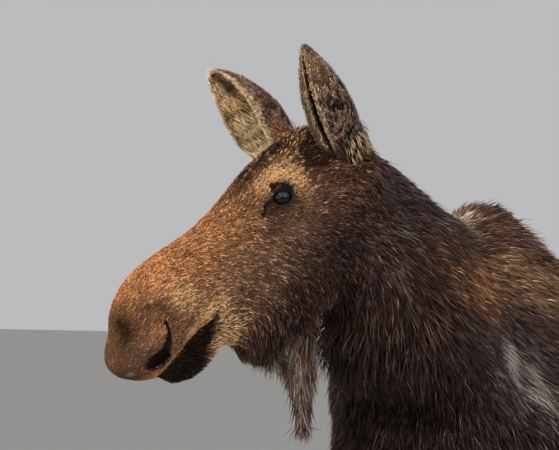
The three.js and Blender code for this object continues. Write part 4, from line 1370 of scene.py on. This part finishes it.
def flat_leg(points):
    """Each leg unwrapped round an upright line, in its own quarter."""
    fore = points[:, 1] < 0.4
    left = points[:, 0] > MIDLINE
    middle_line = np.where(fore, FORELEGS_AT, HINDLEGS_AT)
    across = np.where(left, LEGS_APART, -LEGS_APART)
    turn = np.arctan2(points[:, 1] - middle_line, points[:, 0] - MIDLINE - across) / (2 * pi) + 0.5
    quarter = fore * 2.0 + left * 1.0
    return np.stack([(quarter + np.clip(turn, 0.01, 0.99)) / 4, np.clip(points[:, 2], 0.002, 0.998)], axis=1)


def generator(offset):
    """Random numbers that are the same on every run."""
    return np.random.default_rng(bpy.context.scene.moose_coat.seed + offset)


SIDES = (("left", 1), ("right", -1))


class MOOSE_OT_coat_face(bpy.types.Operator):
    """Short locks of the head, smallest on the muzzle and round the eyes"""
    bl_idname = "moose.coat_face"
    bl_label = "Coat of the face"

    def execute(self, context):
        hair = hair_material("face guard hair", 0.32, 1.65)

        def width(points):
            a = in_head(points)[:, 0]
            return 0.0018 - 0.0006 * ease(a, 0.40, 0.56) + 0.0005 * ease(a, 0.06, -0.04)

        for number, (side, sign) in enumerate(SIDES):
            coat_piece(
                f"coat_face_{side}", hair, lambda p, sign=sign: on_head(p) * on_side(p, sign),
                context.scene.moose_coat.face, width, flat_face, generator(number),
                lambda p: 1 + 1.1 * ease(in_head(p)[:, 0], 0.36, 0.50), longer=0.85, strands=1.15,
                spread_tone=0.20)
        return {"FINISHED"}


class MOOSE_OT_coat_neck(bpy.types.Operator):
    """Longer locks of the neck, each side a piece"""
    bl_idname = "moose.coat_neck"
    bl_label = "Coat of the neck"

    def execute(self, context):
        hair = hair_material("neck guard hair", 0.40, 1.9)
        for number, (side, sign) in enumerate(SIDES):
            coat_piece(
                f"coat_neck_{side}", hair, lambda p, sign=sign: on_neck(p) * on_side(p, sign),
                context.scene.moose_coat.neck, always(0.0023), flat_neck, generator(10 + number))
        return {"FINISHED"}


class MOOSE_OT_coat_trunk(bpy.types.Operator):
    """Locks of the shoulders and hump, and of the back, belly and rump"""
    bl_idname = "moose.coat_trunk"
    bl_label = "Coat of the trunk"

    def execute(self, context):
        count = context.scene.moose_coat.trunk
        hair = hair_material("trunk guard hair", 0.40, 1.9)
        coat_piece(
            "coat_shoulders", hair, lambda p: on_trunk(p) * (p[:, 1] < SHOULDERS_END), count,
            always(0.0029), flat_trunk, generator(20),
            lambda p: 1 + 1.0 * ease(p[:, 1], 0.10, -0.10) * ease(p[:, 2], 1.2, 1.4))
        coat_piece(
            "coat_back", hair, lambda p: on_trunk(p) * (p[:, 1] >= SHOULDERS_END), count,
            always(0.0042), flat_trunk, generator(21))
        return {"FINISHED"}


class MOOSE_OT_coat_legs(bpy.types.Operator):
    """Short locks of the legs, down over the tops of the hooves"""
    bl_idname = "moose.coat_legs"
    bl_label = "Coat of the legs"

    def execute(self, context):
        coat_piece(
            "coat_legs", hair_material("leg guard hair", 0.45, 1.4), on_legs,
            context.scene.moose_coat.legs, lambda p: 0.0026 + 0.0016 * ease(p[:, 2], 0.4, 0.8), flat_leg,
            generator(30), lambda p: 1 + 0.8 * ease(p[:, 2], 0.6, 0.3))
        return {"FINISHED"}


def flat_ear(cell, s, share):
    """An ear's wall laid flat in one quarter of the patches' square."""
    across = (cell + np.clip((s + 1) / 2, 0.01, 0.99)) / 4
    return np.stack([across, np.clip(share, 0.003, 0.997)], axis=1)


def ear_locks(number, name, surface, count, palette, rng):
    """Locks of both walls of an ear: they lie along it and turn towards the rims, where they grow thickest;
    short on the back and long in an open hollow."""
    points, faces, share, s, inner = surface
    folded = name == "ear_left"
    rim = ease(np.abs(s), 0.84, 0.98)
    weight = (1 + 2.0 * rim) * ease(share, 0.0, 0.08) * np.where(inner > 0.5, 0.8, 1.0)
    roots, normals, share, s, inner = rooted(points, faces, weight, count, rng, share, s, inner)
    hollow = inner > 0.5
    base, tip = (np.array(value, float) for value in EAR_PLACES[name][:2])
    along = unit(upright_frame(tip))
    axis = POLL + upright_frame(base)
    foot = axis + ((roots - axis) @ along)[:, None] * along
    round_way = unit(np.cross(along, unit(roots - foot))) * np.sign(s)[:, None]
    edge = ease(np.abs(s), 0.80, 1.0)
    if folded:
        turn = np.where(hollow, 0.10 + 0.55 * edge, 0.05 + 0.10 * edge)
    else:
        turn = np.where(hollow, 0.12 + 0.3 * edge, 0.10 + 0.35 * edge)
    ruffle = np.where(hollow, 0.10, 0.18) * noise(roots, 0.018, 41 + number)
    ways = unit(along + round_way * turn[:, None] + np.cross(normals, along) * ruffle[:, None])
    lengths = np.where(hollow, 0.010 if folded else 0.032 - 0.018 * edge, 0.0105)
    lengths = lengths * (0.75 + 0.25 * ease(share, 1.0, 0.75))
    lifts = np.radians(np.where(hollow, 5.0, 15.0))
    if folded:
        lifts = lifts + (1 - inner) * radians(9) * ease(s, 0.2, 0.5)
    colours = ear_colours(name, share + rng.normal(0, 0.012, count), s, hollow * 1.0, roots, palette)
    colours = colours * np.exp(0.6 * streaks(roots, ways, 0.0028, 43))[:, None]
    flat = flat_ear(number * 2 + hollow, s, share)
    return roots, normals, ways, lengths, np.full(count, 0.0015), lifts, colours, flat


EAR_FOOT_COUNT = 700  # hanging locks of each ear's foot


def ear_foot_locks(number, name, surface, palette, rng):
    """Longer locks that hang from the back of an ear's foot, black and buff mixed."""
    points, faces, share, s, inner = surface
    if name == "ear_left":
        weight = ease(share, 0.34, 0.10) * ease(s, -0.05, -0.30) * ease(s, -0.86, -0.66) * (1 - inner)
    else:
        weight = ease(share, 0.30, 0.10) * ease(np.abs(s), 0.7, 0.4) * (1 - inner)
    roots, normals, share, s = rooted(points, faces, weight, EAR_FOOT_COUNT, rng, share, s)
    along = unit(upright_frame(np.array(EAR_PLACES[name][1], float)))
    ways = unit(-UPRIGHT - 0.35 * along - 0.35 * HEADING + 0.35 * normals + 0 * roots)
    pale = ease(noise(roots, 0.008, 45), -0.1, 0.2)[:, None]
    colours = palette["soot"] * 1.3 * (1 - pale) + palette["buff"] * 0.9 * pale
    length, width, lift = (np.full(EAR_FOOT_COUNT, value) for value in (0.026, 0.0020, radians(24)))
    return roots, normals, ways, length, width, lift, colours, flat_ear(number * 2, s, share)


class MOOSE_OT_coat_ears(bpy.types.Operator):
    """Locks of the ears: short on the back, longer and pale in the hollow, and a fringe along the rims"""
    bl_idname = "moose.coat_ears"
    bl_label = "Coat of the ears"

    def execute(self, context):
        palette = coat_palette()
        rng = generator(40)
        grown = []
        for number, name in enumerate(EARS):
            surface = ear_surface(name)
            grown.append(ear_locks(number, name, surface, context.scene.moose_coat.ears // 2, palette, rng))
            grown.append(ear_foot_locks(number, name, surface, palette, rng))
        parts = [np.concatenate(column) for column in zip(*grown)]
        mesh = grow("coat_ears", *parts, rng, stray=0.07, spread_tone=0.22, odd=0.05)
        place("coat_ears", mesh, hair_material("ear hair", 0.55, 1.3))
        return {"FINISHED"}


def fringe_regions(points, faces):
    """Where the fringes root, by name: weight at each point, and how much longer than the coat they are."""
    a, q, b = mirrored(in_head(points)).T
    head = head_part(points)
    on = head > 0.5
    x, y, z = folded_body(points).T
    low, high = (np.array(v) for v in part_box("bell"))
    bell = inside(points, low - 0.01, high + np.array([0.01, 0.01, -0.03]))
    low, high = (np.array(v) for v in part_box("tail"))
    tail = inside(points, low - 0.01, high + 0.01) & (y > 1.04)
    jaw = ease(a, 0.16, 0.24) * ease(a, 0.44, 0.40) * ease(b, -0.262, -0.285) * on
    jaw = jaw + 1.6 * ease(a, 0.35, 0.38) * ease(a, 0.437, 0.425) * ease(b, -0.200, -0.222) * on
    jaw = jaw + 1.0 * ease(a, 0.43, 0.438) * ease(a, 0.470, 0.455) * ease(b, -0.140, -0.160) * on
    downward = ease(-point_normals(points, faces)[:, 1], 0.1, 0.4)
    throat = (1 - head) * downward * np.exp(
        -((x / 0.17) ** 2 + ((y + 0.55) / 0.11) ** 2 + ((z - 1.525) / 0.075) ** 2))
    return {
        "throat": (throat * 1.1, 1.3),
        "bell": (bell * 2.6, 1.15),
        "tail": (tail * 1.2, 1.0),
        "jaw": (jaw * 1.3, 1.05),
        "chin": (ease(a, 0.43, 0.45) * ease(a, 0.56, 0.52) * ease(b, -0.185, -0.20) * on * 0.7, 1.0),
        "crest": (ease(q, 0.045, 0.01) * ease(a, 0.09, 0.03) * ease(b, -0.03, 0.0) * on, 0.9),
        "behind the ear": (
            np.exp(-(((a + 0.045) / 0.02) ** 2 + ((b + 0.10) / 0.035) ** 2)) * (q > 0.06) * 1.2, 1.2),
        "mane": ((1 - head) * ease(x, 0.10, 0.03) * ease(y, -0.10, -0.22) * ease(z, 1.60, 1.68) * 0.6, 1.0),
    }


class MOOSE_OT_coat_fringes(bpy.types.Operator):
    """Long locks that break the outline: bell, throat, jaw edge, crest, mane, behind the ears and tail"""
    bl_idname = "moose.coat_fringes"
    bl_label = "Fringes"

    def execute(self, context):
        hair = hair_material("fringe hair", 0.45, 1.4)
        palette = coat_palette()
        points, faces = skin_surface()
        regions = fringe_regions(points, faces)
        weight = sum(region for region, _ in regions.values()) * keep_off(points)
        longer = sum(region * gain for region, gain in regions.values()) / np.maximum(weight, 1e-6)
        rng = generator(50)
        roots, normals, gain, bell, beard = rooted(
            points, faces, weight, context.scene.moose_coat.fringes, rng, longer,
            (regions["bell"][0] > 0).astype(float), regions["throat"][0] / 1.1)
        hanging = bell > 0.5
        bell_low, bell_high = (np.array(v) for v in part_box("bell"))
        ways, lengths, lifts = lie(roots)
        ways = unit(ways * (1 - bell[:, None]) + np.array([0.0, 0.05, -1.0]) * bell[:, None])
        beard = beard * (1 - bell)
        bearded = ease(beard, 0.05, 0.4)
        height = roots[:, 2]
        drop = np.minimum(rng.uniform(0.045, 0.075, len(roots)), height - bell_low[2] + 0.016)
        lengths = np.where(hanging, drop, lengths * np.clip(gain, 0.8, 1.3)) * (1 + 0.5 * bearded)
        lifts = np.where(hanging, radians(9), lifts * (1.0 + 0.25 * head_part(roots) + 1.95 * bearded))
        ruffle = 0.22 * noise(roots, 0.03, 51)
        ways = unit(ways + np.cross(normals, ways) * ruffle[:, None])
        colours = markings(roots + rng.normal(0, 0.005, roots.shape), palette)
        colours = colours * np.exp(0.8 * streaks(roots, ways, 0.006, 53))[:, None]
        shaggy = over(palette["umber"], palette["ash"], 0.42 + 0.55 * streaks(roots, ways, 0.006, 52))
        shaggy = shaggy * (0.45 + 0.55 * ease(height, bell_high[2] - 0.02, bell_high[2] - 0.09))[:, None]
        colours = np.where(hanging[:, None], shaggy, colours)
        brown = 0.40 * ease(beard, 0.10, 0.5) * ease(height, 1.515, 1.545) * ease(-roots[:, 1], 0.555, 0.585)
        colours = over(colours, palette["walnut"], brown)
        on = head_part(roots) > 0.5
        quarter = np.select([hanging, roots[:, 1] > 0.9, on], [0, 1, 2], 3)
        bell_foot, tail_foot = (
            np.array(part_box(name)[0]) * [0, 0, 1] + middle(name) * [1, 1, 0] for name in ("bell", "tail"))
        flat = np.choose(quarter[:, None], [
            cylinder_unwrap(roots, bell_foot, UPRIGHT, (1, 0, 0), 0.27),
            cylinder_unwrap(roots, tail_foot, UPRIGHT, (1, 0, 0), 0.2), flat_head(roots), flat_neck(roots)])
        flat = np.stack([(quarter + flat[:, 0]) / 4, flat[:, 1]], axis=1)
        mesh = grow("coat_fringes", roots, normals, ways, lengths, np.full(len(roots), 0.0030), lifts,
                    colours, flat, rng, rings=2, stray=0.13)
        place("coat_fringes", mesh, hair)
        return {"FINISHED"}


# ---------------------------------------------------------------- eyes
OPENING_AHEAD = 0.0026  # how far opening and iris sit ahead of the ball's middle
CORNEA = 0.0014  # how far the cornea bulges
CORNEA_REACH = radians(34)


def eyeball(side):
    """A ball with a bulging cornea: its radius at a polar angle is the ball's plus the bulge times
    exp(-(angle / reach) squared). Returns places, triangles, and the places in the eye's own frame."""
    centre, ahead, up, out = eye_frame(side)
    low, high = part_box(f"eye_{side}")
    radius = (high[2] - low[2]) / 2
    rows, sides = 40, 64
    polar = np.linspace(0, pi, rows)[1:-1, None]
    turn = np.arange(sides)[None] / sides * 2 * pi
    r = radius + CORNEA * np.exp(-(polar / CORNEA_REACH) ** 2)
    x, y = r * np.sin(polar) * np.cos(turn), r * np.sin(polar) * np.sin(turn)
    z = r * np.cos(polar) + 0 * turn
    poles = [[0, 0, radius + CORNEA], [0, 0, -radius]]
    local, faces = closed_tube(np.stack([x, y, z], axis=-1), poles)
    points = centre + local[:, :1] * ahead + local[:, 1:2] * up + local[:, 2:] * out
    return points, facing_out(points, faces), local


def lid_margin(turn, settings):
    """The almond opening: x = half length times cos, y = half height times sin with its corners drawn in;
    the lower lid is flatter, the corner towards the nose drops, and the whole sits a little ahead."""
    half_long, half_high = settings.opening_long / 2, settings.opening_high / 2
    x = half_long * np.cos(turn)
    y = half_high * np.sin(turn) * np.abs(np.sin(turn)) ** 0.18
    y = np.where(y < 0, y * 0.92, y * 1.05) - 0.0022 * np.clip(np.cos(turn), 0, 1) ** 3
    return x + OPENING_AHEAD, y - 0.0010


def lids(side, settings):
    """Both lids as one closed ring round the opening. Across it, from the edge on the ball: a rounded rim 2
    mm thick, a crease above it, then folds running out to the bare ring's border, and back underneath."""
    centre, ahead, up, out = eye_frame(side)
    low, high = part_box(f"eye_{side}")
    radius = (high[2] - low[2]) / 2 + 0.0010
    sides = 120
    turn = np.arange(sides)[:, None] / sides * 2 * pi
    x0, y0 = lid_margin(turn, settings)
    outer_x, outer_y = 0.0260 * np.cos(turn), 0.0210 * np.sin(turn)
    steps = np.linspace(0, 1, 26)[None]
    x = x0 + (outer_x - x0) * steps
    y = y0 + (outer_y - y0) * steps
    on_ball = np.sqrt(np.clip(radius ** 2 - x0 ** 2 - y0 ** 2, 0, None))
    rim = 0.0022 * np.sin(np.clip(steps / 0.16, 0, 1) * pi / 2)
    upper = np.clip(np.sin(turn), 0, 1)
    lower = np.clip(-np.sin(turn), 0, 1)
    crease = -0.0020 * np.exp(-((steps - 0.42) / 0.055) ** 2) * upper ** 0.5
    roll = 0.0022 * np.exp(-((steps - 0.62) / 0.15) ** 2) * upper
    bag = 0.0012 * np.exp(-((steps - 0.45) / 0.16) ** 2) * lower
    folds = 0.0005 * np.sin(steps * 26 + 1.5 * np.sin(turn * 2)) * steps * (1 - steps) * 4
    fall = ease(steps, 0.12, 1.0)
    relief = (rim + crease + roll + bag + folds) * (1 - ease(steps, 0.8, 1.0))
    z = on_ball * (1 - fall) + 0.0070 * fall + relief
    z = np.where(steps == 0, on_ball - 0.0006, z)
    top = np.stack([x, y, z], axis=-1)
    bottom = np.stack([x[:, ::-1], y[:, ::-1], z[:, ::-1] - 0.0035], axis=-1)[:, 1:-1]
    loop = np.concatenate([top, bottom], axis=1)
    local = loop.reshape(-1, 3)
    points = centre + local[:, :1] * ahead + local[:, 1:2] * up + local[:, 2:] * out
    around = loop.shape[1]
    grid = np.arange(len(points)).reshape(sides, around)
    right, below = np.roll(grid, -1, axis=0), np.roll(grid, -1, axis=1)
    both = np.roll(right, -1, axis=1)
    quads = np.stack([grid, right, both, below], axis=-1).reshape(-1, 4)
    faces = facing_out(points, np.concatenate([quads[:, [0, 1, 2]], quads[:, [0, 2, 3]]]))
    there_and_back = np.concatenate([steps[0], steps[0][::-1][1:-1]])
    return points, faces, np.broadcast_to(there_and_back, (sides, around)).ravel()


class MOOSE_OT_eyes(bpy.types.Operator):
    """Eyeballs with a dark brown iris, a painted reflection of a pale sky in bluish grey over its upper half,
    and a level, oblong pupil
    """
    bl_idname = "moose.eyes"
    bl_label = "Eyes"

    def execute(self, context):
        settings = context.scene.moose_eyes
        material = eye_material()
        for side in ("left", "right"):
            points, faces, local = eyeball(side)
            mesh = make_mesh(f"eyeball_{side}", points, faces)
            x, y = local[:, 0] - OPENING_AHEAD, local[:, 1]
            pupil = ease(np.sqrt((x / 0.0085) ** 2 + (y / 0.0016) ** 2), 1.2, 0.8)
            # painted reflection of a pale sky: bluish grey over the upper half of the iris
            painted_sky_reflection = np.array(linear("#30353b")) * ease(y, -0.0010, 0.0030)[:, None]
            edge = ease(np.hypot(x, y * 1.25), 0.0125, 0.0150)
            streak = 0.15 * np.sin(np.arctan2(y, local[:, 0]) * 40)
            iris = (np.array(tuple(settings.iris)) + painted_sky_reflection) * (1 + streak)[:, None]
            tone = over(iris, np.array(linear("#15100f")), edge)
            tone = over(tone, np.array(linear("#0b0807")), pupil)
            colour_points(mesh, "coat", tone, 1.0)
            place(f"eyeball_{side}", mesh, material, [f"eye_{side}"])
        return {"FINISHED"}


class MOOSE_OT_lids(bpy.types.Operator):
    """Lids round each eye, with their creases, and the upper lashes"""
    bl_idname = "moose.lids"
    bl_label = "Lids and lashes"

    def execute(self, context):
        settings = context.scene.moose_eyes
        material = lid_material()
        lash = hair_material("lashes", 0.8, 1.0)
        rng = generator(60)
        for side in ("left", "right"):
            points, faces, steps = lids(side, settings)
            mesh = make_mesh(f"lids_{side}", points, faces)
            hide = np.array(tuple(settings.lid))
            centre, ahead, up, out = eye_frame(side)
            shaded = 1 - 0.80 * ease((points - centre) @ up, -0.002, 0.009)
            tone = hide * (shaded * (0.12 + 1.15 * ease(steps, 0.12, 0.50)))[:, None]
            colour_points(mesh, "coat", tone, 1.0)
            place(f"lids_{side}", mesh, material)
            count = 90
            turn = rng.uniform(radians(20), radians(165), count)
            x, y = lid_margin(turn, settings)
            y = y + 0.0006
            z = np.sqrt(np.clip(0.020 ** 2 - x ** 2 - y ** 2, 0, None)) + 0.0016
            roots = centre + x[:, None] * ahead + y[:, None] * up + z[:, None] * out
            ways = unit(ahead * (0.15 + 0.35 * np.cos(turn))[:, None] + out * 0.75 - up * 0.20)
            normals = unit(up + out * 0.3 + 0 * ways)
            length, width, lift, row = (np.full(count, value) for value in (0.0085, 0.0006, radians(6), 0.5))
            tone = np.tile(linear("#15100e"), (count, 1))
            mesh = grow(f"lashes_{side}", roots, normals, ways, length, width, lift, tone,
                        np.stack([turn / pi, row], axis=1), rng, rings=2)
            place(f"lashes_{side}", mesh, lash)
        return {"FINISHED"}


# ---------------------------------------------------------------- hooves
def toe(node, inner_sign, settings):
    """One half of a cloven hoof. Round it at height share v the outline is x = half width times cos to the
    power 0.85, y = half length times sin to the power 0.95, narrowed towards the point by 0.62 times the
    share forward to the power 2.4 and flattened on the side of the cleft. The front wall leans back with
    height and the top is a low dome."""
    low, high = (np.array(v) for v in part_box(node))
    sides, rows = 48, 16
    turn = np.arange(sides)[None] / sides * 2 * pi
    v = np.linspace(0, 1, rows)[:, None]
    height = (high[2] + 0.004) * v
    front = low[1] + settings.front_slope * height
    back = high[1] - 0.004 - 0.10 * height + 0.004 * np.sin(v * pi)
    half_long, centre_y = (back - front) / 2, (back + front) / 2
    centre_x = (low[0] + high[0]) / 2
    half_wide = (high[0] - low[0]) / 2 * (0.97 - 0.10 * v)
    c, s = np.cos(turn), np.sin(turn)
    c = np.sign(c) * np.abs(c) ** 0.85
    s = np.sign(s) * np.abs(s) ** 0.95
    ahead = np.clip(-s, 0, 1)
    narrow = 1 - 0.62 * ahead ** 2.4
    inner = c * inner_sign > 0
    x = half_wide * c * np.where(inner, 0.82, 1.0) * narrow + inner_sign * 0.10 * half_wide * ahead ** 2
    edge = 1 - 0.05 * (1 - np.clip(v / 0.08, 0, 1)) ** 2
    points = np.stack([centre_x + x * edge, centre_y + half_long * s * edge, height + 0 * turn], axis=-1)
    inset = points[-1] * 0.75 + points[-1].mean(axis=0) * 0.25 + np.array([0, 0, 0.004])
    return closed_tube(np.concatenate([points, inset[None]]))


def dewclaw(node):
    """A short horn behind the pastern, full at its root and narrow at its tip, leaning back as it goes
    down. Its root leans forward into the skin by 24 mm times the square of the share of height."""
    low, high = (np.array(v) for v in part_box(node))
    sides, rows = 24, 10
    turn = np.arange(sides)[None] / sides * 2 * pi
    v = np.linspace(0, 1, rows)[:, None]
    tall = 0.040
    size = np.sin(0.30 + v * 1.15) ** 0.8
    x = (low[0] + high[0]) / 2 + (high[0] - low[0]) / 2 * size * np.cos(turn)
    y = high[1] - 0.012 - 0.010 * v - 0.024 * v ** 2 + (0.0125 + 0.006 * v) * size * np.sin(turn)
    z = low[2] - 0.002 + tall * v + 0 * turn
    return closed_tube(np.stack([x, y, z], axis=-1))


class MOOSE_OT_hooves(bpy.types.Operator):
    """Two toes and two dewclaws to each foot"""
    bl_idname = "moose.hooves"
    bl_label = "Hooves"

    def execute(self, context):
        settings = context.scene.moose_hooves
        horn = horn_material()
        for leg in LEGS:
            points, faces, count = [], [], 0
            nodes = [f"{leg}_{part}_{side}" for part in ("toe", "dewclaw") for side in ("inner", "outer")]
            cleft = (middle(nodes[0]) + middle(nodes[1]))[0] / 2
            for node in nodes:
                sign = 1 if cleft > middle(node)[0] else -1
                shape, corners = toe(node, sign, settings) if "toe" in node else dewclaw(node)
                points.append(shape)
                faces.append(corners + count)
                count += len(shape)
            mesh = make_mesh(f"hoof_{leg}", np.concatenate(points), np.concatenate(faces))
            place(f"hoof_{leg}", mesh, horn, nodes)
        return {"FINISHED"}


# ---------------------------------------------------------------- stage
def soft_lamp(name, at, towards, size, power, colour):
    """A large soft lamp that looks at a place."""
    lamp = bpy.data.lights.new(name, "AREA")
    lamp.shape = "DISK"
    lamp.size = size
    lamp.energy = power
    lamp.color = colour
    holder = bpy.data.objects.new(name, lamp)
    holder.location = at
    aim = Vector(towards) - Vector(at)
    holder.rotation_euler = aim.to_track_quat("-Z", "Y").to_euler()
    bpy.context.scene.collection.objects.link(holder)


class MOOSE_OT_stage(bpy.types.Operator):
    """Pale floor, soft lamps and the camera"""
    bl_idname = "moose.stage"
    bl_label = "Stage"

    def execute(self, context):
        settings = context.scene.moose_stage
        corners = 40.0 * np.array([[-1, -1, 0], [1, -1, 0], [1, 1, 0], [-1, 1, 0]])
        mesh = make_mesh("floor", corners, np.array([[0, 1, 2, 3]]))
        floor = bpy.data.objects.new("floor", mesh)
        mesh.materials.append(floor_material())
        context.scene.collection.objects.link(floor)

        world = bpy.data.worlds.new("studio")
        world.use_nodes = True
        background = world.node_tree.nodes["Background"]
        background.inputs["Color"].default_value = (*linear("#e6e8ea"), 1)
        background.inputs["Strength"].default_value = 0.62
        context.scene.world = world

        look = np.array([-sin(settings.azimuth), cos(settings.azimuth), 0.0])
        right = np.array([cos(settings.azimuth), sin(settings.azimuth), 0.0])
        spot = middle("eye_left") - right * settings.aside - UPRIGHT * settings.below
        spot = spot - look * settings.distance
        camera = bpy.data.cameras.new("camera")
        camera.lens = settings.lens
        camera.sensor_width = 36
        camera.clip_end = 200
        holder = bpy.data.objects.new("camera", camera)
        holder.location = spot
        holder.rotation_euler = (pi / 2, 0, settings.azimuth)
        context.scene.collection.objects.link(holder)
        context.scene.camera = holder
        context.scene.view_settings.view_transform = "Standard"

        target = from_head([0.3, 0, -0.1])
        soft_lamp("key", target - look * 2.6 - right * 2.6 + UPRIGHT * 3.4, target, 2.2, settings.key_light,
                  (1.0, 0.95, 0.88))
        soft_lamp("fill", target - look * 3.0 + right * 3.4 + UPRIGHT * 0.8, target + right * 0.5, 3.0,
                  settings.fill_light, (0.92, 0.96, 1.0))
        soft_lamp("top", np.array([0.0, 0.2, 4.6]), np.array([0.0, 0.1, 1.0]), 3.0, settings.top_light,
                  (1.0, 1.0, 1.0))
        return {"FINISHED"}


# ---------------------------------------------------------------- panel and running
class MOOSE_PT_panel(bpy.types.Panel):
    """Lists the moose's pieces in the sidebar"""
    bl_label = "Moose"
    bl_idname = "MOOSE_PT_panel"
    bl_space_type = "VIEW_3D"
    bl_region_type = "UI"
    bl_category = "Moose"

    def draw(self, context):
        for operator in OPERATORS:
            self.layout.operator(operator.bl_idname)
        for name in SETTINGS:
            box = self.layout.box()
            group = getattr(context.scene, name)
            for setting in group.bl_rna.properties:
                if setting.identifier not in {"name", "rna_type"}:
                    box.prop(group, setting.identifier)


SETTINGS = {
    "moose_skin": MooseSkinSettings,
    "moose_coat": MooseCoatSettings,
    "moose_eyes": MooseEyeSettings,
    "moose_hooves": MooseHoofSettings,
    "moose_stage": MooseStageSettings,
}
OPERATORS = [
    MOOSE_OT_skin, MOOSE_OT_coat_face, MOOSE_OT_coat_ears, MOOSE_OT_coat_neck, MOOSE_OT_coat_trunk,
    MOOSE_OT_coat_legs, MOOSE_OT_coat_fringes, MOOSE_OT_eyes, MOOSE_OT_lids, MOOSE_OT_hooves, MOOSE_OT_stage,
]


def register():
    """Registers the settings, operators and panel."""
    for name, group in SETTINGS.items():
        bpy.utils.register_class(group)
        setattr(bpy.types.Scene, name, bpy.props.PointerProperty(type=group))
    for operator in OPERATORS:
        bpy.utils.register_class(operator)
    bpy.utils.register_class(MOOSE_PT_panel)


def unregister():
    """Removes what register added."""
    bpy.utils.unregister_class(MOOSE_PT_panel)
    for operator in reversed(OPERATORS):
        bpy.utils.unregister_class(operator)
    for name, group in SETTINGS.items():
        delattr(bpy.types.Scene, name)
        bpy.utils.unregister_class(group)


def main():
    """Builds every piece in order."""
    register()
    bpy.ops.moose.skin()
    bpy.ops.moose.coat_face()
    bpy.ops.moose.coat_ears()
    bpy.ops.moose.coat_neck()
    bpy.ops.moose.coat_trunk()
    bpy.ops.moose.coat_legs()
    bpy.ops.moose.coat_fringes()
    bpy.ops.moose.eyes()
    bpy.ops.moose.lids()
    bpy.ops.moose.hooves()
    bpy.ops.moose.stage()


if __name__ == "__main__":
    main()
